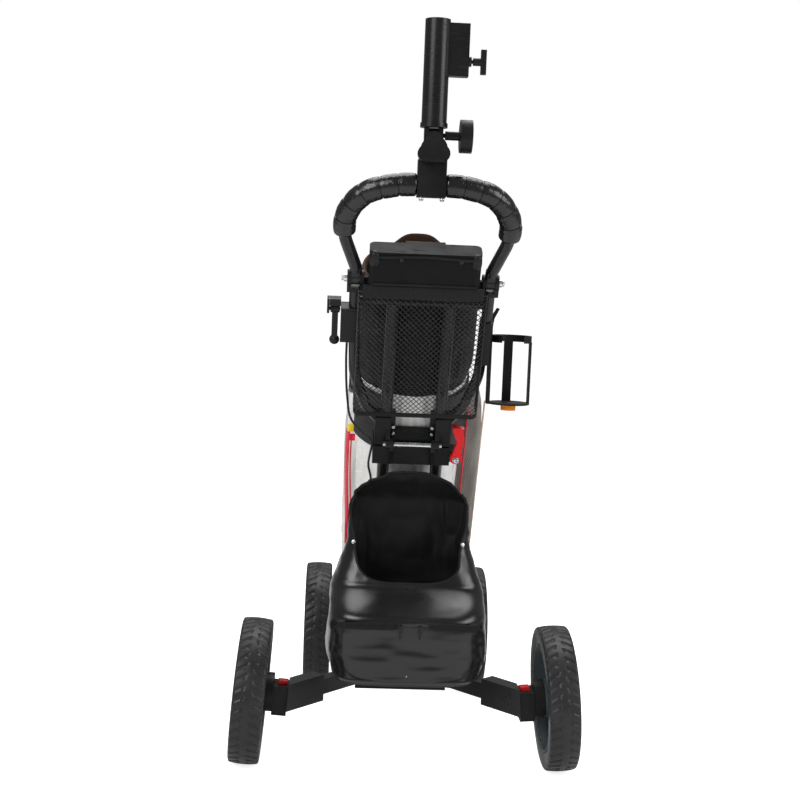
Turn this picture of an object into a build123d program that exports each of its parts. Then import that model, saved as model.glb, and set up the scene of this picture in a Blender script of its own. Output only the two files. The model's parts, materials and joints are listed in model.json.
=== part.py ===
from build123d import *

import os
from math import atan2, cos, degrees, hypot, radians, sin, tan

# Four-wheeled golf push cart with a golf bag strapped to it, in millimetres.
# +X is the pusher's right, +Y the way the cart is pushed, +Z up. The model is built with
# the rear axle line at y = 0 and is then moved so that its box is centred over the origin.

# ---- driving sizes -------------------------------------------------------------------
wheel_r = 146.0            # tyre outside radius
tyre_w = 62.0
crown_r = 160.0            # radius across the tread
rim_r = 108.0              # tyre seat radius
rear_lean = 4.0            # rear wheels lean in at the top, degrees
rear_half_track = 310.0
front_half_track = 184.0
wheelbase = 540.0

mast_angle = 62.0          # mast above the horizontal, degrees
saddle_y = 100.0           # saddle datum, on the rails' centre line
saddle_z = 655.0
lower_rail_len = 560.0     # from the saddle datum down to the base casting
upper_mast_len = 375.0     # from the saddle datum up to the handle clamps
rail_r = 12.5
rail_bore = 10.5
rail_half_gap = 55.5       # half the distance between the rails' centre lines
side_tube_r = 11.0
clamp_half_gap = 130.0     # half the distance between the handle's two ends

handle_lean = -8.0         # handle against the mast, degrees
handle_h = 214.0           # clamp axis to the top of the handle loop
handle_half_w = 157.0
handle_r = 12.0
grip_r = 21.5
cheek_r = 16.0             # handle clamp cheeks
eye_w = 16.0               # handle end between the cheeks

console_half_w = 106.0
console_depth = 44.0
console_low = upper_mast_len + 5.0     # console floor and rim, measured up the mast
console_high = upper_mast_len + 73.0
console_wall = 2.5
lid_t = 4.0

umbrella_r = 23.0
umbrella_bore = 19.5
umbrella_len = 188.0
umbrella_depth = 176.0     # depth of the socket
screw_r = 3.5

leg_z = 140.0              # middle height of the legs
leg_h = 32.0
leg_w = 25.0
leg_pivot_x = 75.0
leg_pivot_y = 165.0
axle_r = 6.0
pin_r = 4.0                # brake pins
pin_circle_r = 30.0
pin_holes = 12
bolt_r = 5.0

bag_len = 866.0            # golf bag, base to rim
bag_w = 236.0
bag_d = 222.0
bag_skin = 5.0
bag_top = 338.0            # rim, measured up the mast

store_half_w = 162.0       # storage bag
store_floor_z = 184.0
store_top_z = 603.0
store_skin = 3.0

gap = 0.3                  # between pieces that only lie beside each other
run = 0.05                 # running clearance on a radius
joint_gap = 1.0            # between two faces that slide past each other

# ---- places that follow from them ----------------------------------------------------
mast_cos, mast_sin = cos(radians(mast_angle)), sin(radians(mast_angle))
mast = Plane(origin=(0, saddle_y, saddle_z), x_dir=(1, 0, 0), z_dir=(0, -mast_cos, mast_sin))


def on_mast(x, a, b):
    """World point of a mast point: a is forward of the rails, b is up along them."""
    return (x, saddle_y + a * mast_sin - b * mast_cos, saddle_z + a * mast_cos + b * mast_sin)


rear_axle_z = (wheel_r - crown_r) * cos(radians(rear_lean)) + crown_r
front_axle_z = wheel_r
fold_a, fold_b = -36.0, 12.0       # mast fold axis, behind the rails
clamp_point = on_mast(0, 0, upper_mast_len)
handle_angle = radians(mast_angle + handle_lean)
handle_plane = Plane(
    origin=clamp_point, x_dir=(1, 0, 0), z_dir=(0, -cos(handle_angle), sin(handle_angle))
)
grip_top = (
    0.0,
    clamp_point[1] - handle_h * cos(handle_angle),
    clamp_point[2] + handle_h * sin(handle_angle),
)

# ---- small helpers -------------------------------------------------------------------


def block(x0, x1, y0, y1, z0, z1):
    return Pos((x0 + x1) / 2, (y0 + y1) / 2, (z0 + z1) / 2) * Box(x1 - x0, y1 - y0, z1 - z0)


def rod(p, q, r):
    axis = Vector(*q) - Vector(*p)
    along = (Align.CENTER, Align.CENTER, Align.MIN)
    return Plane(origin=p, z_dir=axis).location * Cylinder(r, axis.length, align=along)


def x_rod(x0, x1, y, z, r):
    return rod((x0, y, z), (x1, y, z), r)


def y_rod(y0, y1, x, z, r):
    return rod((x, y0, z), (x, y1, z), r)


def z_rod(z0, z1, x, y, r):
    return rod((x, y, z0), (x, y, z1), r)


def pipe(points, radii, r, bore=0.0):
    """Round bar, or tube if it has a bore, along straight runs joined by arcs."""
    path = FilletPolyline(*points, radius=radii)
    start = Plane(origin=path @ 0, z_dir=path % 0)
    solid = sweep(start * Circle(r), path=path)
    if bore:
        solid -= sweep(start * Circle(bore), path=path)
    return solid


def on(plane, shape):
    return plane.location * shape


def mirrored(shape):
    return mirror(shape, about=Plane.YZ)


def prism_x(points, x0, x1):
    """A side outline in (y, z), pulled from x0 to x1."""
    face = make_face(Plane.YZ * Polyline(*points, close=True))
    return Pos(x0, 0, 0) * extrude(face, x1 - x0, dir=(1, 0, 0))


def prism_y(points, y0, y1):
    """A front outline in (x, z), pulled from y0 to y1."""
    face = make_face(Plane.XZ * Polyline(*points, close=True))
    return Pos(0, y0, 0) * extrude(face, y1 - y0, dir=(0, 1, 0))


nodes = {}

# ---- wheels, built about the X axis with the outside towards +X -----------------------
hub_r = 25.0
hub_in, hub_out = -18.0, 24.0
ring_t = 6.0
ring_in = hub_in - ring_t
ring_r = pin_circle_r + 9.0
spoke_count = 5


def tyre():
    half = tyre_w / 2
    edge = half - 7
    edge_r = wheel_r - crown_r + (crown_r**2 - edge**2) ** 0.5
    side_r = wheel_r - 14
    bulge_r = (edge_r + side_r) / 2 + 2
    outline = [
        ThreePointArc((-edge, edge_r), (0, wheel_r), (edge, edge_r)),
        ThreePointArc((edge, edge_r), (half - 1.6, bulge_r), (half, side_r)),
        Polyline((half, side_r), (half - 2, rim_r), (-half + 2, rim_r), (-half, side_r)),
        ThreePointArc((-half, side_r), (-half + 1.6, bulge_r), (-edge, edge_r)),
    ]
    return revolve(make_face(outline), Axis.X)


def rim():
    half = tyre_w / 2 - 2
    lip = 4.0
    profile = Polyline(
        (-half, rim_r), (half, rim_r), (half, rim_r - 8), (14, rim_r - 12), (10, hub_r),
        (hub_out, hub_r), (hub_out, axle_r + run), (hub_in, axle_r + run), (hub_in, hub_r),
        (5, hub_r), (9, rim_r - 12), (-half, rim_r - lip), close=True,
    )
    body = revolve(make_face(profile), Axis.X)
    window = Pos(-5, 0, 0) * extrude(Plane.YZ * Pos(0, 64) * Rectangle(34, 40), 30, dir=(1, 0, 0))
    for i in range(spoke_count):
        body -= Rot(360 / spoke_count * i, 0, 0) * window
    return body


def brake_ring():
    body = x_rod(ring_in, hub_in, 0, 0, ring_r) - x_rod(ring_in - 1, hub_in + 1, 0, 0, axle_r + 1)
    hole = x_rod(ring_in - 1, hub_in + 1, 0, -pin_circle_r, pin_r + 1)
    for i in range(pin_holes):
        body -= Rot(360 / pin_holes * i, 0, 0) * hole
    return body


def wheel_place(side, x, y, z, lean):
    """Where a wheel goes: side is +1 on the right, and the top leans in by lean degrees."""
    turn = Rot(0, -lean, 0)
    if side < 0:
        turn = Rot(0, 0, 180) * turn
    return Pos(side * x, y, z) * turn


sides = {"left": -1, "right": 1}
tyre_solid, rim_solid = tyre(), rim()
rear_rim_solid = rim_solid + brake_ring()
rear_place = {h: wheel_place(s, rear_half_track, 0, rear_axle_z, rear_lean) for h, s in sides.items()}
front_place = {h: wheel_place(s, front_half_track, wheelbase, front_axle_z, 0) for h, s in sides.items()}
for hand in sides:
    nodes["tyre_rear_" + hand] = rear_place[hand] * tyre_solid
    nodes["rim_rear_" + hand] = rear_place[hand] * rear_rim_solid
    nodes["tyre_front_" + hand] = front_place[hand] * tyre_solid
    nodes["rim_front_" + hand] = front_place[hand] * rim_solid

# ---- brake cases, brake pins, release buttons and axles, in wheel coordinates ----------
case_out = ring_in - joint_gap
case_mid = case_out - 20.0
case_in = case_out - 50.0
case_half = 26.0
case_low, case_high = -42.0, 20.0
pin_len = 26.0
button_travel = 4.0
button_x0, button_x1 = case_in + 2.0, case_in + 22.0
button_half = 9.0
button_low, button_high = case_high - 8.0, case_high + 8.0
axle_in = case_in + 14.0
cap_r = 14.0


def brake_case():
    body = block(case_in, case_mid, -case_half, case_half, case_low, case_high)
    body = fillet(body.edges().filter_by(Axis.X).group_by(Axis.Z)[0], 9)
    body += x_rod(case_mid, case_out, 0, 0, ring_r)
    body -= x_rod(axle_in, case_out + 1, 0, 0, axle_r)
    body -= x_rod(case_out - pin_len - 2, case_out + 1, 0, -pin_circle_r, pin_r + run)
    return body - block(
        button_x0 - run, button_x1 + run, -button_half - run, button_half + run,
        button_low - button_travel - joint_gap, case_high + 1,
    )


def rear_axle():
    return x_rod(axle_in, hub_out + 4, 0, 0, axle_r) + x_rod(hub_out + gap, hub_out + 5, 0, 0, cap_r)


def brake_pin():
    return x_rod(case_out - pin_len, case_out, 0, -pin_circle_r, pin_r)


def release_button():
    cap = block(button_x0, button_x1, -button_half, button_half, button_low, button_high)
    return fillet(cap.edges().group_by(Axis.Z)[-1], 2)


for hand in sides:
    nodes["brake_case_" + hand] = rear_place[hand] * brake_case()
    nodes["axle_rear_" + hand] = rear_place[hand] * rear_axle()
    nodes["brake_pin_" + hand] = rear_place[hand] * brake_pin()
    nodes["release_button_" + hand] = rear_place[hand] * release_button()

# ---- rear legs --------------------------------------------------------------------------
knuckle_r = 17.0
knuckle_half_h = 21.0
leg_end_x = rear_half_track + case_in - 6.0
sleeve_len = 78.0
sleeve_w = 34.0
sleeve_h = 55.0
leg_run = hypot(leg_end_x - leg_pivot_x, leg_pivot_y)
leg_turn = degrees(atan2(-leg_pivot_y, leg_end_x - leg_pivot_x))


def right_leg():
    """Knuckle, tube and sleeve, along local X from the pivot, then turned towards the hub."""
    tube = block(0, leg_run + 20, -leg_w / 2, leg_w / 2, -leg_h / 2, leg_h / 2)
    sleeve = block(leg_run - sleeve_len, leg_run + 40, -sleeve_w / 2, sleeve_w / 2, -sleeve_h / 2, sleeve_h / 2)
    body = z_rod(-knuckle_half_h, knuckle_half_h, 0, 0, knuckle_r) + tube + sleeve
    body -= z_rod(-knuckle_half_h - 1, knuckle_half_h + 1, 0, 0, bolt_r + run)
    placed = Pos(leg_pivot_x, leg_pivot_y, leg_z) * Rot(0, 0, leg_turn) * body
    return placed - rear_place["right"] * block(case_in, case_in + 300, -200, 200, -200, 200)


nodes["leg_right"] = right_leg()
nodes["leg_left"] = mirrored(nodes["leg_right"])

# ---- base casting, pivot pins, front axle frame ------------------------------------------
yoke_x, yoke_y = 97.0, 19.0
yoke_t = 9.0
yoke_low = leg_z - knuckle_half_h - joint_gap
yoke_high = leg_z + knuckle_half_h + joint_gap
foot = on_mast(0, 0, -lower_rail_len)
base_half_w = 78.0
base_y0, base_y1 = foot[1] - 34.0, foot[1] + 35.0
base_low, base_high = foot[2] - 24.0, foot[2] + 19.0
front_hinge_y, front_hinge_z = base_y1 + 14.0, 148.0
ear_x0, ear_x1 = 34.0, 45.0
ear_r = 11.0


def base_casting():
    body = block(-yoke_x, yoke_x, leg_pivot_y - yoke_y, leg_pivot_y + yoke_y, yoke_low - yoke_t, yoke_low)
    body += block(-yoke_x, yoke_x, leg_pivot_y - yoke_y, leg_pivot_y + yoke_y, yoke_high, yoke_high + yoke_t)
    web = leg_pivot_x - knuckle_r - 8
    body += block(-web, web, leg_pivot_y - yoke_y + 4, leg_pivot_y + yoke_y, yoke_low, yoke_high)
    body += block(-28, 28, leg_pivot_y + yoke_y, base_y0, base_low, base_low + 34)
    body += block(-base_half_w, base_half_w, base_y0, base_y1, base_low, base_high)
    for s in (-1, 1):
        ear = prism_x(
            [(base_y1, front_hinge_z - ear_r), (front_hinge_y, front_hinge_z - ear_r),
             (front_hinge_y, front_hinge_z + ear_r), (base_y1, front_hinge_z + ear_r)], ear_x0, ear_x1,
        ) + x_rod(ear_x0, ear_x1, front_hinge_y, front_hinge_z, ear_r)
        body += ear if s > 0 else mirrored(ear)
        body -= z_rod(yoke_low - yoke_t - 1, yoke_high + yoke_t + 1, s * leg_pivot_x, leg_pivot_y, bolt_r)
        body -= rod(
            on_mast(s * rail_half_gap, 0, -lower_rail_len),
            on_mast(s * rail_half_gap, 0, -lower_rail_len + 200), rail_r,
        )
    return body - x_rod(-60, 60, front_hinge_y, front_hinge_z, bolt_r)


def chassis_pins():
    pins = [
        z_rod(yoke_low - yoke_t - 3, yoke_high + yoke_t + 3, s * leg_pivot_x, leg_pivot_y, bolt_r)
        for s in (-1, 1)
    ]
    pins.append(x_rod(-ear_x1 - 3, ear_x1 + 3, front_hinge_y, front_hinge_z, bolt_r))
    return pins


cross_r = 10.0
arm_r = 8.0
arm_root_y = front_hinge_y + ear_r + arm_r + 3.0    # where the arms leave the casting's ears
front_cross_half = front_half_track + hub_in - gap


def front_axle_frame():
    body = x_rod(-ear_x0 + joint_gap, ear_x0 - joint_gap, front_hinge_y, front_hinge_z, ear_r)
    body += x_rod(-front_cross_half, front_cross_half, wheelbase, front_axle_z, cross_r)
    for s in (-1, 1):
        body += rod((s * 14, front_hinge_y, front_hinge_z), (s * 14, arm_root_y, front_hinge_z), arm_r)
        body += rod((s * 14, arm_root_y - 3, front_hinge_z), (s * 96, wheelbase, front_axle_z), arm_r)
    body -= x_rod(-60, 60, front_hinge_y, front_hinge_z, bolt_r + run)
    return body - x_rod(-front_cross_half - 1, front_cross_half + 1, wheelbase, front_axle_z, axle_r)


def front_axle():
    end = front_half_track + hub_out
    body = x_rod(-end - 4, end + 4, wheelbase, front_axle_z, axle_r)
    for s in (-1, 1):
        body += x_rod(s * (end + gap), s * (end + 5), wheelbase, front_axle_z, cap_r)
    return body


nodes["base_casting"] = base_casting()
nodes["front_axle_frame"] = front_axle_frame()
nodes["front_axle"] = front_axle()

# ---- lower rails, saddle and fold rod ----------------------------------------------------
saddle_half_w = 80.0
saddle_back, saddle_front = -24.0, rail_r + 0.5
latch_x, latch_b = 92.0, -22.0
latch_back = saddle_back - gap - 10.0
lower_block_b0, lower_block_b1 = -46.0, -2.0
rail_top_b = -22.0
pillar_in, pillar_out = 36.0, 78.0
upper_block_b0, upper_block_b1 = 2.0, 68.0
post_foot_b = 24.0
lug_r = 11.0
ear_in, ear_out = 38.0, 46.0
lug_out = 55.0
rod_r = 5.0


def lower_rail(s):
    foot_end = on_mast(s * rail_half_gap, 0, -lower_rail_len)
    top_end = on_mast(s * rail_half_gap, 0, rail_top_b)
    return rod(foot_end, top_end, rail_r) - rod(foot_end, top_end, rail_bore)


def saddle_bracket():
    body = block(-saddle_half_w, saddle_half_w, saddle_back, saddle_front, lower_block_b0, lower_block_b1)
    body += block(saddle_half_w, latch_x + 12, saddle_back, 0, latch_b - 14, latch_b + 14)
    for s in (-1, 1):
        body -= z_rod(lower_block_b0 - 1, rail_top_b, s * rail_half_gap, 0, rail_r)
        ear = prism_x(
            [(saddle_back, -44), (fold_a - lug_r, fold_b - 10), (fold_a - lug_r, fold_b),
             (fold_a + lug_r, fold_b), (saddle_back, lower_block_b1)], ear_in, ear_out,
        ) + x_rod(ear_in, ear_out, fold_a, fold_b, lug_r)
        ear -= x_rod(ear_in - 1, ear_out + 1, fold_a, fold_b, rod_r)
        body += ear if s > 0 else mirrored(ear)
    body -= y_rod(saddle_back - 1, -6, latch_x, latch_b, 4)
    return on(mast, body)


def upper_saddle():
    bridge = block(-pillar_in, pillar_in, -8, saddle_front, upper_block_b0, 24)
    body = bridge
    for s in (-1, 1):
        pillar = block(pillar_in, pillar_out, -10, saddle_front, upper_block_b0, upper_block_b1)
        pillar += block(ear_out + run, pillar_out, saddle_back, -10, upper_block_b0, upper_block_b1)
        pillar += prism_x(
            [(saddle_back, upper_block_b0), (fold_a, fold_b - lug_r), (fold_a, fold_b + lug_r),
             (saddle_back, 40)], ear_out + run, lug_out,
        ) + x_rod(ear_out + run, lug_out, fold_a, fold_b, lug_r)
        pillar -= x_rod(ear_out - 2, lug_out + 1, fold_a, fold_b, rod_r + run)
        pillar -= z_rod(post_foot_b, upper_block_b1 + 1, rail_half_gap, 0, rail_r)
        body += pillar if s > 0 else mirrored(pillar)
    return on(mast, body)




def latch_lever():
    outline = [
        (latch_x - 10, latch_b), (latch_x + 10, latch_b), (104, 20), (104, 54), (84, 56), (84, 40), (92, 20),
    ]
    body = prism_y(outline, latch_back, saddle_back - gap)
    body += y_rod(latch_back, saddle_back - gap, latch_x, latch_b, 12)
    body += block(81, 86, latch_back, saddle_back + 6, 44, 56)
    body -= y_rod(latch_back - 1, saddle_back, latch_x, latch_b, 4 + run)
    return on(mast, body)


def latch_bolt():
    shank = y_rod(latch_back - 3, -6, latch_x, latch_b, 4)
    return on(mast, shank + y_rod(latch_back - 3, latch_back - gap, latch_x, latch_b, 7))


nodes["lower_rails"] = Compound(children=[lower_rail(-1), lower_rail(1)])
nodes["saddle_bracket"] = saddle_bracket()
nodes["upper_saddle"] = upper_saddle()
nodes["fold_rod"] = on(mast, x_rod(-lug_out - 5, lug_out + 5, fold_a, fold_b, rod_r))
nodes["latch_lever"] = latch_lever()
nodes["frame_pins"] = Compound(children=chassis_pins() + [latch_bolt()])

# ---- upper posts, side tubes, cross tube and clamps ---------------------------------------
cross_b = upper_mast_len - 49.0
cross_tube_r = 9.0
clamp_base_b = upper_mast_len - cheek_r - 9.0
cheek_in = clamp_half_gap - eye_w / 2 - run
cheek_out = clamp_half_gap + eye_w / 2 + run
cheek_t = 8.0
clamp_bolt_r = 4.0


def cross_tube():
    end = clamp_half_gap - 1
    return on(mast, x_rod(-end, end, 0, cross_b, cross_tube_r))


def upper_posts():
    posts = [
        on(mast, z_rod(post_foot_b, cross_b, s * rail_half_gap, 0, rail_r)) - cross_tube()
        for s in (-1, 1)
    ]
    return Compound(children=[p.solids()[0] for p in posts])


def side_tube(s):
    points = [
        (clamp_half_gap, 0, clamp_base_b), (clamp_half_gap, 0, clamp_base_b - 50), (clamp_half_gap - 5, 0, 160),
        (100, 0, 84), (pillar_out - 8, 0, 50),
    ]
    tube = on(mast, pipe(points, [300, 120, 60], side_tube_r))
    tube -= nodes["upper_saddle"]
    tube = tube.solids().sort_by(SortBy.VOLUME)[-1]
    return tube if s > 0 else mirrored(tube)


def handle_clamp():
    """Right clamp: base on the side tube and two cheeks round the handle's eye."""
    x0, x1 = cheek_in - cheek_t, cheek_out + cheek_t
    body = block(x0, x1, -13, 13, clamp_base_b, upper_mast_len - cheek_r - 1)
    for lo, hi in ((x0, cheek_in), (cheek_out, x1)):
        body += block(lo, hi, -13, 13, upper_mast_len - cheek_r - 1, upper_mast_len)
        body += x_rod(lo, hi, 0, upper_mast_len, cheek_r)
    body -= x_rod(x0 - 1, x1 + 1, 0, upper_mast_len, clamp_bolt_r)
    return on(mast, body)


def clamp_bolt():
    x0, x1 = cheek_in - cheek_t, cheek_out + cheek_t
    bolt = x_rod(x0, x1, 0, upper_mast_len, clamp_bolt_r) + x_rod(x1 + gap, x1 + 6, 0, upper_mast_len, 8)
    return on(mast, bolt + x_rod(x1 - 1, x1 + 2, 0, upper_mast_len, clamp_bolt_r))


nodes["upper_posts"] = upper_posts()
nodes["side_frame"] = side_tube(-1) + side_tube(1) + cross_tube()
clamp_right, bolt_right = handle_clamp(), clamp_bolt()
nodes["handle_clamps"] = Compound(children=[clamp_right, mirrored(clamp_right)])

# ---- handle and grips ---------------------------------------------------------------------
neck_top = 24.0
apex_x = 56.0
shoulder_h = handle_h - 18.0
loop_points = [
    (apex_x, 0, handle_h), (handle_half_w * 0.79, 0, shoulder_h),
    (handle_half_w, 0, shoulder_h - 56), (handle_half_w - 4, 0, shoulder_h - 104),
]
loop_radii = [150, 80, 80, 80]
grip_start = 27.0
grip_end = (handle_half_w - 2.9, 0, shoulder_h - 91)


def handle_tube():
    foot_point = (clamp_half_gap, 0, neck_top)
    right = loop_points + [foot_point]
    left = [(-x, y, z) for x, y, z in right]
    tube = pipe(left[::-1] + right, loop_radii[::-1] + loop_radii, handle_r, handle_r - 1.8)
    for s in (-1, 1):
        x = s * clamp_half_gap
        tube += x_rod(x - eye_w / 2, x + eye_w / 2, 0, 0, 13)
        tube += block(x - eye_w / 2, x + eye_w / 2, -10, 10, 0, neck_top + 4)
        tube += z_rod(neck_top - 6, neck_top + 4, x, 0, handle_r)
        tube -= x_rod(x - eye_w, x + eye_w, 0, 0, clamp_bolt_r + run)
    return on(handle_plane, tube)


def grip(s):
    points = [(grip_start, 0, handle_h)] + loop_points[:3] + [grip_end]
    solid = pipe(points, loop_radii[:3], grip_r, handle_r)
    return on(handle_plane, solid if s > 0 else mirrored(solid))


nodes["handle_tube"] = handle_tube()
for hand, s in sides.items():
    nodes["grip_" + hand] = grip(s)

# ---- umbrella holder, with the top of the handle loop as its origin ------------------------
umbrella_place = Pos(*grip_top)
lean_z = 62.0              # axis of the sideways lean
tilt_z = 90.0              # axis of the tilt forward and back
tongue = 9.0
fork = 17.0
pivot_r = 12.0
stub_r = 4.0
socket_low = tilt_z + pivot_r + 1.5
clamp_half_x = 26.0


def umbrella_clamp():
    body = block(-clamp_half_x, clamp_half_x, -19, 19, -22, 17)
    body += block(-clamp_half_x, clamp_half_x, -fork, fork, 17, 46)
    for y0, y1 in ((-fork, -tongue - run), (tongue + run, fork)):
        body += block(-pivot_r, pivot_r, y0, y1, 46, lean_z) + y_rod(y0, y1, 0, lean_z, pivot_r)
    body -= y_rod(-fork - 1, fork + 1, 0, lean_z, stub_r + run)
    body = umbrella_place * body
    along = handle_plane.location * x_rod(-40, 40, 0, handle_h, handle_r)
    return body - along


def umbrella_knuckle():
    mid = (lean_z + tilt_z) / 2
    body = block(-pivot_r, pivot_r, -tongue, tongue, lean_z, mid - 3)
    body += y_rod(-tongue, tongue, 0, lean_z, pivot_r)
    body += block(-tongue, tongue, -tongue, tongue, mid - 3, tilt_z)
    body += block(-tongue, tongue, -pivot_r, pivot_r, mid + 2, tilt_z)
    body += x_rod(-tongue, tongue, 0, tilt_z, pivot_r)
    body += y_rod(-fork - 4, fork, 0, lean_z, stub_r)
    return umbrella_place * (body + x_rod(-fork, fork + 4, 0, tilt_z, stub_r))


def umbrella_tube():
    top = socket_low + 4 + umbrella_len
    body = z_rod(socket_low + 4, top, 0, 0, umbrella_r)
    body += z_rod(socket_low, socket_low + 8, 0, 0, umbrella_r + 2)
    body += block(10, 58, -11, 11, top - 100, top - 6)
    body += x_rod(58, 63, 0, top - 72, 9)
    for x0, x1 in ((-fork, -tongue - run), (tongue + run, fork)):
        body += block(x0, x1, -pivot_r, pivot_r, tilt_z, socket_low + 2) + x_rod(x0, x1, 0, tilt_z, pivot_r)
    body -= x_rod(-fork - 1, fork + 1, 0, tilt_z, stub_r + run)
    body -= x_rod(umbrella_bore - 1, 64, 0, top - 72, screw_r + run)
    return umbrella_place * (body - z_rod(top - umbrella_depth, top + 1, 0, 0, umbrella_bore))


screw_z = socket_low + 4 + umbrella_len - 72.0


def tilt_knob():
    return umbrella_place * (x_rod(fork + 4 + gap, 48, 0, tilt_z, 8) + x_rod(48, 70, 0, tilt_z, 30))


def lean_knob():
    body = y_rod(-fork - 4 - gap, -24, 0, lean_z, 8) + y_rod(-24, -43, 0, lean_z, 24)
    for i in range(3):
        body += Pos(0, 0, lean_z) * Rot(0, 120 * i, 0) * y_rod(-24, -43, 0, 15, 16)
    return umbrella_place * body


def wing_screw():
    body = x_rod(umbrella_bore + 2, 80, 0, screw_z, screw_r)
    body += block(80, 90, -5, 5, screw_z - 22, screw_z + 22) + x_rod(66, 82, 0, screw_z, 7)
    return umbrella_place * body


nodes["umbrella_clamp"] = umbrella_clamp()
nodes["umbrella_knuckle"] = umbrella_knuckle()
nodes["umbrella_tube"] = umbrella_tube()
nodes["tilt_knob"] = tilt_knob()
nodes["lean_knob"] = lean_knob()
nodes["wing_screw"] = wing_screw()

# ---- console --------------------------------------------------------------------------------
console_front = 3.0
console_back = console_front - console_depth
lid_pin_r = 3.0


def console_tray():
    w = console_half_w
    body = block(-w, w, console_back, console_front, console_low, console_high)
    body = fillet(body.edges().filter_by(Axis.Z), 12)
    inner = block(
        -w + console_wall, w - console_wall, console_back + console_wall, console_front - console_wall,
        console_low + console_wall, console_high + 1,
    )
    body -= fillet(inner.edges().filter_by(Axis.Z), 9)
    for s in (-1, 1):
        arm = block(w - 24, cheek_in - cheek_t, -10, -2, upper_mast_len - 12, console_low + 2)
        body += arm if s > 0 else mirrored(arm)
        knuckle = x_rod(40, 60, console_front + 5, console_high - 6, 5.5)
        knuckle += block(40, 60, console_front - 2, console_front + 5, console_high - 11, console_high - 4)
        knuckle -= x_rod(39, 61, console_front + 5, console_high - 6, lid_pin_r)
        body += knuckle if s > 0 else mirrored(knuckle)
    return on(mast, body)


def console_lid():
    w = console_half_w
    low = console_high + gap
    body = block(-w, w, console_back, console_front, low, low + lid_t)
    body = fillet(body.edges().filter_by(Axis.Z), 12)
    body += block(-38, 38, console_front - 14, console_front + 8, low, low + lid_t)
    body += block(-38, 38, console_front + 2, console_front + 8, console_high - 6, low + 1)
    body += x_rod(-38, 38, console_front + 5, console_high - 6, 5)
    body -= block(-w, w, console_back - 1, console_front + 0.5, console_high - 20, low)
    return on(mast, body - x_rod(-60, 60, console_front + 5, console_high - 6, lid_pin_r + run))


nodes["console_tray"] = console_tray()
nodes["console_lid"] = console_lid()
console_pin = on(mast, x_rod(-60, 60, console_front + 5, console_high - 6, lid_pin_r))
nodes["upper_pins"] = Compound(children=[bolt_right, mirrored(bolt_right), console_pin])

# ---- mesh pocket ------------------------------------------------------------------------------
pocket_low, pocket_high = 92.0, upper_mast_len - 5.0
pocket_half_w = 126.0
pocket_front = -cheek_r - 1.2
pocket_wall = 2.0


def mesh_pocket():
    outer = prism_x(
        [(pocket_front, pocket_low), (pocket_front, pocket_high), (pocket_front - 22, pocket_high),
         (pocket_front - 42, pocket_low + 30), (pocket_front - 36, pocket_low)], -pocket_half_w, pocket_half_w,
    )
    t = pocket_wall
    inner = prism_x(
        [(pocket_front - t, pocket_low + t), (pocket_front - t, pocket_high + 1),
         (pocket_front - 22 + t, pocket_high + 1), (pocket_front - 42 + t, pocket_low + 30),
         (pocket_front - 36 + t, pocket_low + t)], -pocket_half_w + t, pocket_half_w - t,
    )
    return on(mast, outer - inner)


nodes["mesh_pocket"] = mesh_pocket()

# ---- brake lever and cables ---------------------------------------------------------------------
lever_x0, lever_x1 = -176.0, -158.0
lever_b = 306.0


def brake_housing():
    body = block(-156, -clamp_half_gap + 12, -14, 14, 238, 314)
    body += block(-178, -156, -7, 7, lever_b + 9, lever_b + 24)
    body += x_rod(-183, -157, 0, lever_b, 4) + x_rod(-183, -178.5, 0, lever_b, 10)
    body += block(-183, -178.2, -7, 7, lever_b, lever_b + 24)
    return on(mast, body) - nodes["side_frame"]


def brake_lever():
    body = x_rod(lever_x0, lever_x1, 0, lever_b, 8)
    body += block(lever_x0 + 3, lever_x1 - 3, -5, 5, lever_b - 62, lever_b)
    body += Pos((lever_x0 + lever_x1) / 2, 0, lever_b - 70) * Sphere(10)
    return on(mast, body - x_rod(lever_x0 - 1, lever_x1 + 1, 0, lever_b, 4 + run))


nodes["brake_housing"] = brake_housing()
nodes["brake_lever"] = brake_lever()

# ---- bottle cage --------------------------------------------------------------------------------
cage_x = 186.0
cage_r = 37.0
cage_t = 4.0
cage_place = Pos(*on_mast(cage_x, -10, 180))
cage_low, cage_high = -64.0, 108.0
cage_hoop = 60.0          # foot of the hoop that goes round the bottle


def cage_bracket():
    body = on(mast, block(clamp_half_gap - 12, cage_x - cage_r - 2 * cage_t, -14, 14, 196, 292))
    return body - nodes["side_frame"]


def bottle_cage():
    plate = z_rod(cage_low, cage_low + cage_t, 0, 0, cage_r + 3)
    spine = block(-cage_r - 4 - cage_t, -cage_r - cage_t + 2, -13, 13, cage_low, cage_high)
    body = plate + spine
    z = cage_hoop
    hoop = z_rod(z, z + 14, 0, 0, cage_r + cage_t) - z_rod(z - 1, z + 15, 0, 0, cage_r)
    body += hoop - block(-22, 22, -cage_r - 20, 0, z - 1, z + 15)
    body += block(cage_r, cage_r + cage_t, -9, 9, cage_low, z + 2)
    body += block(-9, 9, cage_r, cage_r + cage_t, cage_low, z + 2)
    horn = [(-cage_r - 6, 92), (-cage_r - 1, 92), (-cage_r + 1, 106), (-cage_r + 11, 126), (-cage_r + 6, 128),
            (-cage_r - 4, 112)]
    body += prism_y(horn, -6, 6)
    body -= z_rod(cage_low - 1, cage_low + cage_t + 1, 0, 0, 5)
    body = cage_place * body
    return body - nodes["cage_bracket"]


def cage_dial():
    body = z_rod(cage_low - 12, cage_low - gap, 0, 0, 15)
    body += z_rod(cage_low - 1, cage_low + cage_t - 0.5, 0, 0, 5 - run)
    return cage_place * body


nodes["cage_bracket"] = cage_bracket()
nodes["bottle_cage"] = bottle_cage()
nodes["cage_dial"] = cage_dial()

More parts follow.
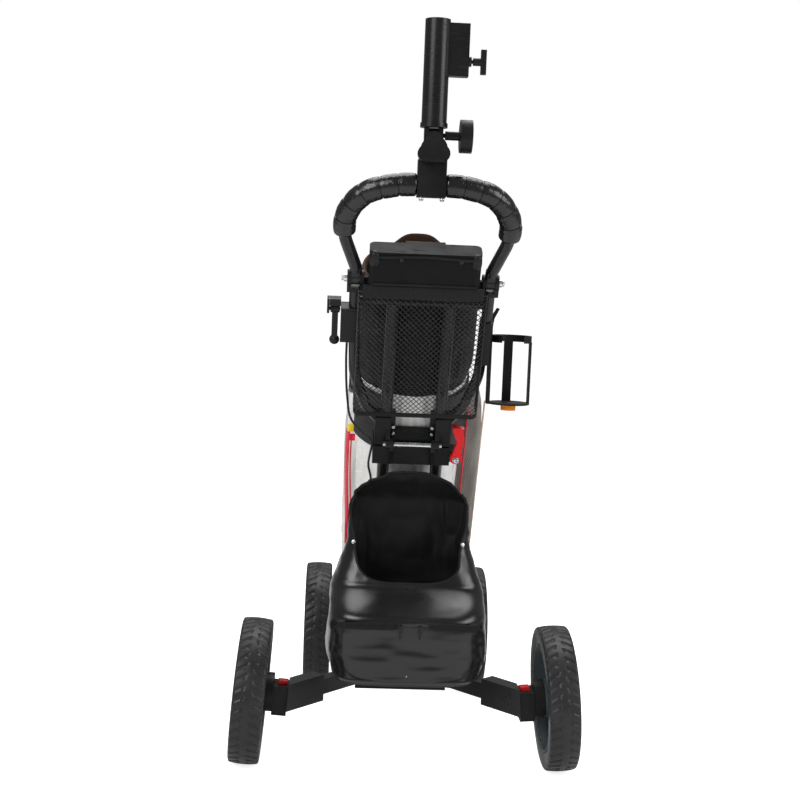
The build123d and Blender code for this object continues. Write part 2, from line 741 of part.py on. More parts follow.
# ---- golf bag --------------------------------------------------------------------------------------
bag_a = bag_d / 2 + saddle_front + 1.0
bag_base = bag_top - bag_len
cuff_h = 34.0
bag_floor_t = 8.0
wing_a = 86.0              # how far the cradle's wings reach round the bag


def oval(grow, b0, b1):
    face = Pos(0, bag_a, b0) * Ellipse(bag_w / 2 + grow, bag_d / 2 + grow)
    return extrude(face, b1 - b0, dir=(0, 0, 1))


def golf_bag_body():
    outer = oval(0, bag_base, bag_top - cuff_h)
    return on(mast, outer - oval(-bag_skin, bag_base + bag_floor_t, bag_top))


def golf_bag_cuff():
    body = oval(0, bag_top - cuff_h, bag_top) - oval(-bag_skin, bag_top - cuff_h - 1, bag_top + 1)
    bars = block(-bag_w / 2, bag_w / 2, bag_a - 3, bag_a + 3, bag_top - cuff_h, bag_top - 8)
    bars += block(-3, 3, bag_a, bag_a + bag_d / 2, bag_top - cuff_h, bag_top - 8)
    body += bars & oval(-bag_skin + 2, bag_top - cuff_h, bag_top)
    lobe = oval(0, bag_top, bag_top + 22) - oval(-bag_skin, bag_top - 1, bag_top + 23)
    lobe &= block(-60, 60, bag_a, bag_a + bag_d, bag_top, bag_top + 22)
    return on(mast, body + lobe)


pocket_reach = {-1: 136.0, 1: 163.0}     # how far each side pocket stands off the mast's middle


def side_pocket(s):
    """A long pocket that stands off the side of the bag and narrows to its lower end."""
    out = pocket_reach[s]
    outline = [
        (100, 40), (out - 15, 36), (out, -20), (out - 1, -120), (out - 10, -280), (122, -430), (100, -440),
    ]
    body = prism_y(outline, wing_a + 6, wing_a + 130) - oval(gap, -500, 100)
    body = on(mast, body.solids().sort_by(SortBy.VOLUME)[-1])
    return body if s > 0 else mirrored(body)


def front_pocket():
    far = bag_a + bag_d / 2
    outline = [(bag_a + 40, -60), (far + 34, -90), (far + 38, -400), (bag_a + 40, -440)]
    body = prism_x(outline, -86, 86) - oval(gap, -500, 100)
    return on(mast, body.solids().sort_by(SortBy.VOLUME)[-1])


nodes["golf_bag_body"] = golf_bag_body()
nodes["golf_bag_cuff"] = golf_bag_cuff()
nodes["golf_bag_pockets"] = Compound(children=[side_pocket(-1), side_pocket(1), front_pocket()])

# ---- cradle, strap and bag rest --------------------------------------------------------------
wing_t = 8.0
wing_low, wing_high = lower_block_b0 + 4, 88.0
strap_low, strap_high = 50.0, 88.0
strap_t = 3.0
rest_t = 9.0


def bag_cradle():
    """Two wings from the saddle that reach round the back of the golf bag."""
    ring = oval(gap + wing_t, wing_low, wing_high) - oval(gap, wing_low - 1, wing_high + 1)
    pads = block(-saddle_half_w, saddle_half_w, saddle_front, saddle_front + 26, wing_low, lower_block_b1 - 2)
    pads -= oval(gap, wing_low - 1, wing_high + 1)
    body = ring + pads
    body &= block(-200, 200, saddle_front, wing_a, wing_low, wing_high)
    body -= block(-52, 52, saddle_front - 1, wing_a + 1, wing_low - 1, wing_high + 1)
    return on(mast, body)


def bag_strap():
    band = oval(gap + strap_t, strap_low, strap_high) - oval(gap, strap_low - 1, strap_high + 1)
    band &= block(-200, 200, wing_a, 400, strap_low, strap_high)
    return on(mast, band)


def strap_buckle():
    x1 = -bag_w / 2
    body = block(x1 - 16, x1 + 4, wing_a + 8, wing_a + 44, strap_low - 4, strap_high + 4)
    body -= oval(gap + strap_t, strap_low - 10, strap_high + 10)
    return on(mast, body)


def bag_rest():
    top = bag_base - gap
    plate = block(-84, 84, saddle_front, 205, top - rest_t, top)
    lip = block(-60, 60, 205, 213, top - rest_t, top)
    low = base_high
    web = prism_x(
        [(base_y1 - 26, low), (base_y1, low), on_mast(0, 130, top - 2)[1:], on_mast(0, 24, top - 2)[1:]],
        -22, 22,
    )
    return on(mast, plate + lip) + web - nodes["base_casting"]


nodes["bag_cradle"] = bag_cradle()
nodes["bag_strap"] = Compound(children=[bag_strap(), strap_buckle()])
nodes["bag_rest"] = bag_rest()

# ---- storage bag, its cords and zip pulls --------------------------------------------------------
store_back_y = -80.0               # the side that faces the pusher
store_front_y = leg_pivot_y - yoke_y - 3.0
store_lip = (-5.0, 374.0)
collar_b = (store_top_z - saddle_z - saddle_back * mast_cos) / mast_sin
store_top_y = on_mast(0, saddle_back, collar_b)[1] - 4.0      # the collar leans on the saddle
collar_bend = (store_top_y + 8.0, store_top_z - 21.0)


def storage_bag():
    w = store_half_w
    side = [
        (store_back_y, store_floor_z), (store_back_y, 312), store_lip, (store_top_y, store_top_z),
        collar_bend, (store_front_y, 520), (store_front_y, store_floor_z),
    ]
    t = store_skin
    cavity = [
        (store_back_y + t, store_floor_z + t), (store_back_y + t, 310), (store_lip[0] - t, store_lip[1] - 5),
        (-70, 470), (40, 700), (store_top_y - t, 700), (store_top_y - t, store_top_z - 3),
        (collar_bend[0] - t, collar_bend[1] - 1), (store_front_y - t, 518),
        (store_front_y - t, store_floor_z + t),
    ]
    front = [
        (w - 14, store_floor_z), (w, 240), (w - 3, 330), (121, 470), (117, 540), (92, 588), (40, store_top_z),
    ]
    inside = [
        (w - 14 - t, store_floor_z), (w - t, 240), (w - 3 - t, 329), (121 - t, 469), (117 - t, 539),
        (90, 585), (40, 640),
    ]
    outer = prism_x(side, -w, w) & prism_y(front + [(-x, z) for x, z in front[::-1]], -200, 300)
    inner = prism_x(cavity, -w, w) & prism_y(inside + [(-x, z) for x, z in inside[::-1]], -200, 300)
    return outer - inner


cord_r = 2.0


def suspension_cords():
    cords = []
    for s in (-1, 1):
        end = (s * 148, store_front_y + 9, store_floor_z + 20)
        start = on_mast(s * 98, 44, 40)
        cord = rod(start, end, cord_r) + Pos(*end) * Sphere(5)
        cords.append(cord - nodes["bag_cradle"] - nodes["storage_bag"])
    return Compound(children=[c.solids().sort_by(SortBy.VOLUME)[-1] for c in cords])


def zip_pull(x):
    body = block(x - 4, x + 4, store_back_y - gap - 3, store_back_y - gap, 292, 308)
    return body + block(x - 2, x + 2, store_back_y - gap - 3, store_back_y - gap, 282, 292)


nodes["storage_bag"] = storage_bag()
nodes["suspension_cords"] = suspension_cords()
nodes["zip_pull_left"] = zip_pull(-17)
nodes["zip_pull_right"] = zip_pull(22)

# ---- brake cables ------------------------------------------------------------------------------------
cable_r = 2.5


def cable(points):
    """Cable through hand-picked points, each arc as large as its two runs allow."""
    runs = [Vector(*q) - Vector(*p) for p, q in zip(points, points[1:])]
    radii = []
    for a, b in zip(runs, runs[1:]):
        turn = radians(a.get_angle(b))
        radii.append(0.45 * min(a.length, b.length) / tan(turn / 2))
    return pipe(points, radii, cable_r)


upper_cable_points = [
    on_mast(*p) for p in (
        (-142, -4, 238), (-142, -4, 196), (-140, -16, 150), (-136, -30, 112), (-129, -40, 78), (-108, -46, 50),
        (-90, -46, 34), (-83, -41, 17),
    )
]
lower_cable_points = [
    on_mast(*p) for p in (
        (-83, -39, 8), (-86, -30, -22), (-87, -16, -58), (-80, -3, -100), (-76, 0, -155), (-75, 1, -215),
        (-76, 1, -275), (-75, 0, -335), (-76, -1, -395), (-74, -8, -450),
    )
] + [(-66, 270, 214), (-52, 222, 192), (-40, 183, 180)]

nodes["brake_cable_upper"] = cable(upper_cable_points)
nodes["brake_cable_lower"] = cable(lower_cable_points)

# ---- move and write ------------------------------------------------------------------------------------
whole = Compound(children=[Compound(children=list(n.solids())) for n in nodes.values()])
span = whole.bounding_box()
shift_y = -(span.min.Y + span.max.Y) / 2

os.makedirs("parts", exist_ok=True)
for name, shape in nodes.items():
    solids = [Pos(0, shift_y, 0) * s for s in shape.solids()]
    export_step(solids[0] if len(solids) == 1 else Compound(children=solids), "parts/" + name + ".step")
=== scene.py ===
import json
import bpy
from math import cos, exp, pi, radians, sin, sqrt, tan
from mathutils import Matrix, Vector, noise


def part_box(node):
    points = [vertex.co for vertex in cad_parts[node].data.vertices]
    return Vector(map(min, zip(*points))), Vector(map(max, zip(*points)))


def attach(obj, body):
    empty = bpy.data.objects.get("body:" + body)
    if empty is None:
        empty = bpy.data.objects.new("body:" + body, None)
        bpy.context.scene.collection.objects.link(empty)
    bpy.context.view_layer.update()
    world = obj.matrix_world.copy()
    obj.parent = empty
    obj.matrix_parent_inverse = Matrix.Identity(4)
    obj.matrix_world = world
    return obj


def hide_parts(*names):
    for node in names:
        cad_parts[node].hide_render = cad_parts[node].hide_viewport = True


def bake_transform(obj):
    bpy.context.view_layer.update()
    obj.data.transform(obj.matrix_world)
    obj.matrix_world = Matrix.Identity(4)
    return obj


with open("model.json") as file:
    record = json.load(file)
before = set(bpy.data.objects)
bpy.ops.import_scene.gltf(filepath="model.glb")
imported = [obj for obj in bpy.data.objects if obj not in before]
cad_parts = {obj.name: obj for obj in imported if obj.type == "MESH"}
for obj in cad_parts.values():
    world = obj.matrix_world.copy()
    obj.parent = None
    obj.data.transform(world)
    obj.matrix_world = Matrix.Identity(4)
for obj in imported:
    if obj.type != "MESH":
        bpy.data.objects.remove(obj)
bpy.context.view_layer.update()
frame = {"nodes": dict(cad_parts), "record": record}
nodes = frame["nodes"]
mm = 0.001

# ---- places read from the frame ----
# angles above the horizontal, lengths in millimetres; the fold rod lies behind the rails
# and above the datum, the clamps and the top of the handle loop are up from it
placeSettings = {"mast": 62, "handle": 54, "rodBehind": 36, "rodAbove": 12, "clamps": 375, "loopTop": 214}
mastAngle = radians(placeSettings["mast"])
mastUp = Vector((0, -cos(mastAngle), sin(mastAngle)))
mastFwd = Vector((0, sin(mastAngle), cos(mastAngle)))
handleAngle = radians(placeSettings["handle"])
handleUp = Vector((0, -cos(handleAngle), sin(handleAngle)))
handleFwd = Vector((0, sin(handleAngle), cos(handleAngle)))


def boxMiddle(node):
    low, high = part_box(node)
    return (Vector(low) + Vector(high)) / 2


datum = boxMiddle("fold_rod") + mastFwd * (placeSettings["rodBehind"] * mm)
datum -= mastUp * (placeSettings["rodAbove"] * mm)
datum.x = 0
rearAxleY = boxMiddle("tyre_rear_left").y


def onMast(x, a, b):
    # x across, a forward of the rails, b up along them, in millimetres
    return datum + Vector((x * mm, 0, 0)) + mastFwd * (a * mm) + mastUp * (b * mm)


clampPoint = onMast(0, 0, placeSettings["clamps"])


def onHandle(x, a, h):
    return clampPoint + Vector((x * mm, 0, 0)) + handleFwd * (a * mm) + handleUp * (h * mm)


gripTop = onHandle(0, 0, placeSettings["loopTop"])

# ---- camera ----
camSettings = {"side": -0.16, "back": 2.68, "height": 1.0, "pitch": -5.4, "yaw": 2.74, "roll": 2.3,
               "lens": 60.8}


def addCamera():
    c = camSettings
    data = bpy.data.cameras.new("camera")
    data.lens = c["lens"]
    cam = bpy.data.objects.new("camera", data)
    bpy.context.scene.collection.objects.link(cam)
    cam.location = (c["side"], rearAxleY - c["back"], c["height"])
    look = Matrix.Rotation(radians(-c["yaw"]), 4, "Z") @ Matrix.Rotation(radians(90 + c["pitch"]), 4, "X")
    roll = Matrix.Rotation(radians(c["roll"]), 4, "Z")
    cam.matrix_world = Matrix.Translation(cam.location) @ look @ roll
    bpy.context.scene.camera = cam


addCamera()
print("camera placed")

# ---- floor and light ----
stageSettings = {"floor": 90.0, "tone": 0.9, "rough": 0.8, "shine": 0.1, "floorGlow": 0.82, "world": 0.24,
                 "aim": 0.6}
# name, watts, size, place
lamps = [
    ("key", 105, 2.2, (-2.4, -2.8, 2.9)),
    ("fill", 60, 2.0, (2.9, -1.9, 2.1)),
    ("top", 80, 2.6, (0.2, 0.8, 3.4)),
]


def addStage():
    s = stageSettings
    bpy.ops.mesh.primitive_plane_add(size=s["floor"])
    floor = bpy.context.object
    floor.name = "floor"
    mat = bpy.data.materials.new("floorPale")
    mat.use_nodes = True
    shader = mat.node_tree.nodes["Principled BSDF"]
    shader.inputs["Base Color"].default_value = (s["tone"],) * 3 + (1,)
    shader.inputs["Roughness"].default_value = s["rough"]
    shader.inputs["Specular IOR Level"].default_value = s["shine"]
    shader.inputs["Emission Color"].default_value = (1, 1, 1, 1)
    seen = mat.node_tree.nodes.new("ShaderNodeLightPath")
    glow = addMath(mat.node_tree, "MULTIPLY", seen.outputs["Is Camera Ray"], s["floorGlow"])
    mat.node_tree.links.new(glow, shader.inputs["Emission Strength"])
    floor.data.materials.append(mat)
    world = bpy.data.worlds.new("studio")
    bpy.context.scene.world = world
    world.use_nodes = True
    # white behind the object, dimmer as a light so that dark surfaces stay dark
    back = world.node_tree.nodes["Background"]
    back.inputs[0].default_value = (1, 1, 1, 1)
    rays = world.node_tree.nodes.new("ShaderNodeLightPath")
    glow = addMath(world.node_tree, "MAXIMUM", rays.outputs["Is Camera Ray"], s["world"])
    world.node_tree.links.new(glow, back.inputs[1])
    for name, watts, size, place in lamps:
        data = bpy.data.lights.new(name, "AREA")
        data.energy = watts
        data.size = size
        lamp = bpy.data.objects.new(name, data)
        bpy.context.scene.collection.objects.link(lamp)
        lamp.location = place
        lamp.rotation_euler = (Vector((0, 0, s["aim"])) - Vector(place)).to_track_quat("-Z", "Y").to_euler()


# ---- shader groups ----
grainSettings = {"detail": 3, "patchScale": 14, "patchDetail": 4}
weaveSettings = {"fadeScale": 9, "fadeDetail": 5}
scuffSettings = {"stretch": (30, 30, 260), "detail": 6, "cutoff": 0.56, "gain": 4.0}
bandSway = 13.0


def startGroup(name, ins, outs):
    tree = bpy.data.node_groups.new(name, "ShaderNodeTree")
    for label, kind, value in ins:
        sock = tree.interface.new_socket(name=label, in_out="INPUT", socket_type=kind)
        sock.default_value = value
    for label, kind in outs:
        tree.interface.new_socket(name=label, in_out="OUTPUT", socket_type=kind)
    a = tree.nodes.new("NodeGroupInput")
    b = tree.nodes.new("NodeGroupOutput")
    return tree, a, b


def feed(tree, value, socket):
    # a plain number is set, an output is linked
    if isinstance(value, (int, float)):
        socket.default_value = value
    else:
        tree.links.new(value, socket)


def addMath(tree, op, a, b=None):
    n = tree.nodes.new("ShaderNodeMath")
    n.operation = op
    feed(tree, a, n.inputs[0])
    if b is not None:
        feed(tree, b, n.inputs[1])
    return n.outputs[0]


def addNoise(tree, vector, scale, detail):
    n = tree.nodes.new("ShaderNodeTexNoise")
    feed(tree, vector, n.inputs["Vector"])
    feed(tree, scale, n.inputs["Scale"])
    n.inputs["Detail"].default_value = detail
    return n.outputs["Fac"]


def makeGrain():
    # fine pebble of moulded plastic: height, and a slow patchy mask for colour and gloss
    s = grainSettings
    tree, a, b = startGroup("fineGrain", [("Scale", "NodeSocketFloat", 900.0)],
                            [("Height", "NodeSocketFloat"), ("Patch", "NodeSocketFloat")])
    where = tree.nodes.new("ShaderNodeTexCoord").outputs["Object"]
    tree.links.new(addNoise(tree, where, a.outputs["Scale"], s["detail"]), b.inputs["Height"])
    tree.links.new(addNoise(tree, where, s["patchScale"], s["patchDetail"]), b.inputs["Patch"])
    return tree


def makeWeave():
    # crossing threads, read in Object coordinates along X and Y together and up
    s = weaveSettings
    tree, a, b = startGroup("wovenCloth", [("Threads", "NodeSocketFloat", 1800.0)],
                            [("Height", "NodeSocketFloat"), ("Fade", "NodeSocketFloat")])
    coord = tree.nodes.new("ShaderNodeTexCoord")
    apart = tree.nodes.new("ShaderNodeSeparateXYZ")
    tree.links.new(coord.outputs["Object"], apart.inputs[0])
    sideways = addMath(tree, "ADD", apart.outputs["X"], apart.outputs["Y"])
    warp = addMath(tree, "SINE", addMath(tree, "MULTIPLY", sideways, a.outputs["Threads"]))
    weft = addMath(tree, "SINE", addMath(tree, "MULTIPLY", apart.outputs["Z"], a.outputs["Threads"]))
    crossed = addMath(tree, "MULTIPLY", warp, weft)
    fade = addNoise(tree, coord.outputs["Object"], s["fadeScale"], s["fadeDetail"])
    tree.links.new(crossed, b.inputs["Height"])
    tree.links.new(fade, b.inputs["Fade"])
    return tree


def makeScuff():
    # long fine scratches and dust, as one mask
    s = scuffSettings
    tree, a, b = startGroup("scuffs", [("Amount", "NodeSocketFloat", 0.5)], [("Mask", "NodeSocketFloat")])
    coord = tree.nodes.new("ShaderNodeTexCoord")
    stretch = tree.nodes.new("ShaderNodeMapping")
    stretch.inputs["Scale"].default_value = s["stretch"]
    tree.links.new(coord.outputs["Object"], stretch.inputs["Vector"])
    high = addMath(tree, "SUBTRACT", addNoise(tree, stretch.outputs[0], 1.0, s["detail"]), s["cutoff"])
    mask = addMath(tree, "MULTIPLY", addMath(tree, "MAXIMUM", high, 0.0), s["gain"])
    tree.links.new(addMath(tree, "MULTIPLY", mask, a.outputs["Amount"]), b.inputs["Mask"])
    return tree


def makeBand():
    # an upright band in Object coordinates that sways with height, cut off sharply at its edges
    ins = [("Centre", 0.0), ("Half", 0.004), ("Low", 0.0), ("High", 1.0), ("Sway", 0.004)]
    tree, a, b = startGroup("printedBand", [(label, "NodeSocketFloat", value) for label, value in ins],
                            [("Mask", "NodeSocketFloat")])
    coord = tree.nodes.new("ShaderNodeTexCoord")
    apart = tree.nodes.new("ShaderNodeSeparateXYZ")
    tree.links.new(coord.outputs["Object"], apart.inputs[0])
    wave = addMath(tree, "SINE", addMath(tree, "MULTIPLY", apart.outputs["Z"], bandSway))
    swayed = addMath(tree, "ADD", apart.outputs["X"], addMath(tree, "MULTIPLY", wave, a.outputs["Sway"]))
    off = addMath(tree, "ABSOLUTE", addMath(tree, "SUBTRACT", swayed, a.outputs["Centre"]))
    inside = addMath(tree, "LESS_THAN", off, a.outputs["Half"])
    above = addMath(tree, "GREATER_THAN", apart.outputs["Z"], a.outputs["Low"])
    below = addMath(tree, "LESS_THAN", apart.outputs["Z"], a.outputs["High"])
    mask = addMath(tree, "MULTIPLY", addMath(tree, "MULTIPLY", inside, above), below)
    tree.links.new(mask, b.inputs["Mask"])
    return tree


addStage()
bpy.context.scene.view_settings.view_transform = "Standard"
grainGroup = makeGrain()
weaveGroup = makeWeave()
scuffGroup = makeScuff()
bandGroup = makeBand()
print("stage lit")

# ---- materials ----
bumpDepth = 0.0006
coatRough = 0.15
metalShine = 0.5
spreadFrom = (0.3, 0.7)


def useGroup(tree, group, **values):
    n = tree.nodes.new("ShaderNodeGroup")
    n.node_tree = group
    for k, v in values.items():
        n.inputs[k].default_value = v
    return n


def mixColour(tree, mask, under, over):
    # under is a colour or an output, over is a colour
    n = tree.nodes.new("ShaderNodeMix")
    n.data_type = "RGBA"
    if isinstance(under, tuple):
        n.inputs["A"].default_value = (*under, 1)
    else:
        tree.links.new(under, n.inputs["A"])
    n.inputs["B"].default_value = (*over, 1)
    tree.links.new(mask, n.inputs["Factor"])
    return n.outputs["Result"]


def spread(tree, value, low, high):
    n = tree.nodes.new("ShaderNodeMapRange")
    n.inputs["From Min"].default_value = spreadFrom[0]
    n.inputs["From Max"].default_value = spreadFrom[1]
    n.inputs["To Min"].default_value = low
    n.inputs["To Max"].default_value = high
    tree.links.new(value, n.inputs["Value"])
    return n.outputs[0]


def startMaterial(name):
    mat = bpy.data.materials.new(name)
    mat.use_nodes = True
    return mat, mat.node_tree, mat.node_tree.nodes["Principled BSDF"]


def addSurface(tree, shader, patch, height, colours, bump):
    # patchy colour between two tones, and bump from the height
    colour = mixColour(tree, spread(tree, patch, 0.0, 1.0), *colours)
    tree.links.new(colour, shader.inputs["Base Color"])
    b = tree.nodes.new("ShaderNodeBump")
    b.inputs["Strength"].default_value = bump
    b.inputs["Distance"].default_value = bumpDepth
    tree.links.new(height, b.inputs["Height"])
    tree.links.new(b.outputs[0], shader.inputs["Normal"])


def plasticLike(name, dark, light, rough, grain=900.0, bump=0.12, metal=0.0, coat=0.0, scuff=0.4, shine=0.28):
    # moulded plastic, rubber or paint: patchy colour, patchy gloss, fine grain
    mat, tree, shader = startMaterial(name)
    g = useGroup(tree, grainGroup, Scale=grain)
    s = useGroup(tree, scuffGroup, Amount=scuff)
    addSurface(tree, shader, g.outputs["Patch"], g.outputs["Height"], (dark, light), bump)
    gloss = addMath(tree, "ADD", spread(tree, g.outputs["Patch"], *rough), s.outputs["Mask"])
    tree.links.new(gloss, shader.inputs["Roughness"])
    shader.inputs["Metallic"].default_value = metal
    shader.inputs["Specular IOR Level"].default_value = metalShine if metal else shine
    shader.inputs["Coat Weight"].default_value = coat
    shader.inputs["Coat Roughness"].default_value = coatRough
    return mat


def clothLike(name, dark, light, rough, threads=1800.0, bump=0.25, sheen=0.03, shine=0.16):
    # woven cloth: patchy colour and gloss, threads as bump
    mat, tree, shader = startMaterial(name)
    w = useGroup(tree, weaveGroup, Threads=threads)
    addSurface(tree, shader, w.outputs["Fade"], w.outputs["Height"], (dark, light), bump)
    tree.links.new(spread(tree, w.outputs["Fade"], *rough), shader.inputs["Roughness"])
    shader.inputs["Sheen Weight"].default_value = sheen
    shader.inputs["Specular IOR Level"].default_value = shine
    return mat


black = {
    "deep": ((0.004, 0.004, 0.005), (0.008, 0.008, 0.009)),
    "plastic": ((0.005, 0.005, 0.006), (0.009, 0.009, 0.010)),
    "grip": ((0.006, 0.006, 0.007), (0.011, 0.011, 0.012)),
    "gloss": ((0.007, 0.007, 0.008), (0.011, 0.011, 0.012)),
    "paint": ((0.008, 0.008, 0.009), (0.013, 0.013, 0.014)),
    "tyre": ((0.016, 0.016, 0.017), (0.026, 0.026, 0.028)),
}
white = ((0.78, 0.77, 0.75), (0.9, 0.89, 0.875))
vinyl = {"grain": 1400.0, "bump": 0.08, "coat": 0.3}
blackPlastic = plasticLike("blackPlastic", *black["plastic"], (0.36, 0.5), shine=0.26)
mattBlack = plasticLike("mattBlack", *black["deep"], (0.5, 0.66), shine=0.12)
glossBlack = plasticLike("glossBlack", *black["gloss"], (0.22, 0.32), bump=0.05)
tubePaint = plasticLike("tubePaint", *black["paint"], (0.25, 0.36), bump=0.06, coat=0.2)
tyreRubber = plasticLike("tyreRubber", *black["tyre"], (0.28, 0.44), grain=500.0, bump=0.14)
gripRubber = plasticLike("gripRubber", *black["grip"], (0.17, 0.28), grain=700.0, shine=0.5)
rimGrey = plasticLike("rimGrey", (0.035, 0.05, 0.056), (0.05, 0.068, 0.075), (0.36, 0.5))
redPlastic = plasticLike("redPlastic", (0.62, 0.008, 0.012), (0.74, 0.014, 0.018), (0.26, 0.36), bump=0.05)
orangePlastic = plasticLike("orangePlastic", (0.86, 0.24, 0.004), (0.95, 0.3, 0.008), (0.3, 0.4), bump=0.06)
zincSteel = plasticLike("zincSteel", (0.62, 0.64, 0.66), (0.8, 0.82, 0.84), (0.2, 0.34), metal=1.0, bump=0.08,
                        scuff=0.6)
cableSheath = plasticLike("cableSheath", *black["paint"], (0.36, 0.46), bump=0.05)
bagWhite = plasticLike("bagWhite", *white, (0.22, 0.34), **vinyl)
bagPrinted = plasticLike("bagPrinted", *white, (0.22, 0.34), **vinyl)


def addPrint(mat, bands):
    tree = mat.node_tree
    shader = tree.nodes["Principled BSDF"]
    base = shader.inputs["Base Color"].links[0].from_socket
    for colour, centre, half, low, high, sway in bands:
        mask = useGroup(tree, bandGroup, Centre=centre, Half=half, Low=low, High=high, Sway=sway)
        base = mixColour(tree, mask.outputs[0], base, colour)
    tree.links.new(base, shader.inputs["Base Color"])


printRed = (0.72, 0.015, 0.04)
printYellow = (0.9, 0.66, 0.015)
# colour, centre across, half width, lowest, highest, sway
addPrint(bagPrinted, [
    (printRed, -0.1275, 0.0045, 0.38, 0.66, 0.004),
    (printRed, -0.1185, 0.0015, 0.38, 0.64, 0.005),
    (printYellow, -0.124, 0.009, 0.655, 0.672, 0.0),
    (printRed, -0.124, 0.009, 0.634, 0.65, 0.0),
])
stripeRed = plasticLike("stripeRed", (0.62, 0.012, 0.03), (0.78, 0.018, 0.045), (0.25, 0.36), bump=0.06,
                        coat=0.3)
blackCloth = clothLike("blackCloth", *black["deep"], (0.45, 0.62))
liningCloth = clothLike("liningCloth", (0.003, 0.003, 0.004), (0.006, 0.006, 0.007), (0.2, 0.3), threads=2400.0,
                        bump=0.08, shine=0.55)
webbing = clothLike("webbing", (0.008, 0.008, 0.009), (0.014, 0.014, 0.015), (0.55, 0.7), threads=1300.0,
                    bump=0.5)
netCord = clothLike("netCord", (0.005, 0.005, 0.006), (0.01, 0.01, 0.011), (0.28, 0.4), threads=3000.0,
                    shine=0.4)
greyMesh = clothLike("greyMesh", (0.2, 0.185, 0.165), (0.3, 0.28, 0.255), (0.6, 0.75), threads=1500.0, bump=0.6)
brownLining = clothLike("brownLining", (0.028, 0.012, 0.006), (0.05, 0.023, 0.012), (0.6, 0.75), threads=1600.0)
pipingCloth = clothLike("pipingCloth", (0.7, 0.5, 0.42), (0.82, 0.64, 0.55), (0.5, 0.6), threads=2600.0)

slotLook = {
    "tyre": tyreRubber, "rim_plastic": rimGrey, "black_plastic": blackPlastic, "gloss_plastic": glossBlack,
    "steel": zincSteel, "red_plastic": redPlastic, "black_tube": tubePaint, "grip_rubber": gripRubber,
    "orange_plastic": orangePlastic, "net": netCord, "black_fabric": blackCloth, "cable": cableSheath,
    "bag_fabric": bagWhite, "bag_lining": brownLining, "cradle_plastic": blackPlastic, "zip_metal": glossBlack,
}
for part in frame["record"]["subparts"]:
    obj = nodes[part["node"]]
    for slot in obj.material_slots:
        slot.material = slotLook[part["material_slot"]]
for name in ("console_tray", "console_lid"):
    for slot in nodes[name].material_slots:
        slot.material = mattBlack
print("materials made")

# ---- modelling helpers ----


def clearSelection():
    if bpy.context.mode != "OBJECT":
        bpy.ops.object.mode_set(mode="OBJECT")
    bpy.ops.object.select_all(action="DESELECT")


def pick(obj):
    clearSelection()
    obj.select_set(True)
    bpy.context.view_layer.objects.active = obj


def applyAll(obj):
    pick(obj)
    for m in list(obj.modifiers):
        bpy.ops.object.modifier_apply(modifier=m.name)


def freeze(obj):
    # the piece's place goes into its mesh
    pick(obj)
    bpy.ops.object.transform_apply(location=True, rotation=True, scale=True)


def finishPiece(obj, name, mat, body, angle):
    # mat is None where the faces have theirs already, body is None for a piece left unattached
    obj.name = obj.data.name = name
    if mat:
        obj.data.materials.clear()
        obj.data.materials.append(mat)
    freeze(obj)
    if angle:
        bpy.ops.object.shade_smooth_by_angle(angle=radians(angle))
    if body:
        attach(obj, body)
    return obj


def thicken(obj, amount, offset=0, insideSlot=0):
    # cloth or webbing gets its thickness, in millimetres
    mod = obj.modifiers.new("thick", "SOLIDIFY")
    mod.thickness = amount * mm
    mod.offset = offset
    mod.material_offset = insideSlot
    applyAll(obj)


def recalcOut(obj):
    pick(obj)
    bpy.ops.object.mode_set(mode="EDIT")
    bpy.ops.mesh.select_all(action="SELECT")
    bpy.ops.mesh.remove_doubles(threshold=0.00005)
    bpy.ops.mesh.normals_make_consistent(inside=False)
    bpy.ops.object.mode_set(mode="OBJECT")


def addSheet(nu, nv):
    # a unit grid, u and v from 0 to 1, ready to be shaped
    clearSelection()
    bpy.ops.mesh.primitive_grid_add(x_subdivisions=nu, y_subdivisions=nv, size=1, location=(0.5, 0.5, 0))
    freeze(bpy.context.object)
    return bpy.context.object


def shapeBy(obj, rule):
    for v in obj.data.vertices:
        v.co = rule(v.co.x, v.co.y)
    obj.data.update()


def addRoundBlock(size, place, bevel, turn=Matrix.Identity(3), segments=3):
    clearSelection()
    bpy.ops.mesh.primitive_cube_add(size=1, location=(0, 0, 0))
    obj = bpy.context.object
    obj.scale = size
    freeze(obj)
    mod = obj.modifiers.new("bevel", "BEVEL")
    mod.width = bevel
    mod.segments = segments
    applyAll(obj)
    obj.matrix_world = Matrix.Translation(place) @ turn.to_4x4()
    freeze(obj)
    return obj


def joinPieces(pieces):
    clearSelection()
    for p in pieces:
        p.select_set(True)
    bpy.context.view_layer.objects.active = pieces[0]
    bpy.ops.object.join()
    return bpy.context.object


def smoothStep(x, low, high):
    t = min(max((x - low) / (high - low), 0), 1)
    return t * t * (3 - 2 * t)


def blendTable(x, table):
    # smooth value through a short list of (place, value)
    if x <= table[0][0]:
        return table[0][1]
    for (x0, v0), (x1, v1) in zip(table, table[1:]):
        if x <= x1:
            return v0 + (v1 - v0) * smoothStep(x, x0, x1)
    return table[-1][1]


def curveThrough(points, count):
    # evenly spaced places on a smooth line through the points
    pts = [Vector(p) for p in points]
    pts = [pts[0] * 2 - pts[1]] + pts + [pts[-1] * 2 - pts[-2]]
    fine = []
    steps = 24
    for k in range(1, len(pts) - 2):
        p0, p1, p2, p3 = pts[k - 1:k + 3]
        for i in range(steps):
            t = i / steps
            fine.append(0.5 * (2 * p1 + (p2 - p0) * t + (2 * p0 - 5 * p1 + 4 * p2 - p3) * t * t
                               + (3 * p1 - p0 - 3 * p2 + p3) * t * t * t))
    fine.append(pts[-2])
    return spaced(fine, count)


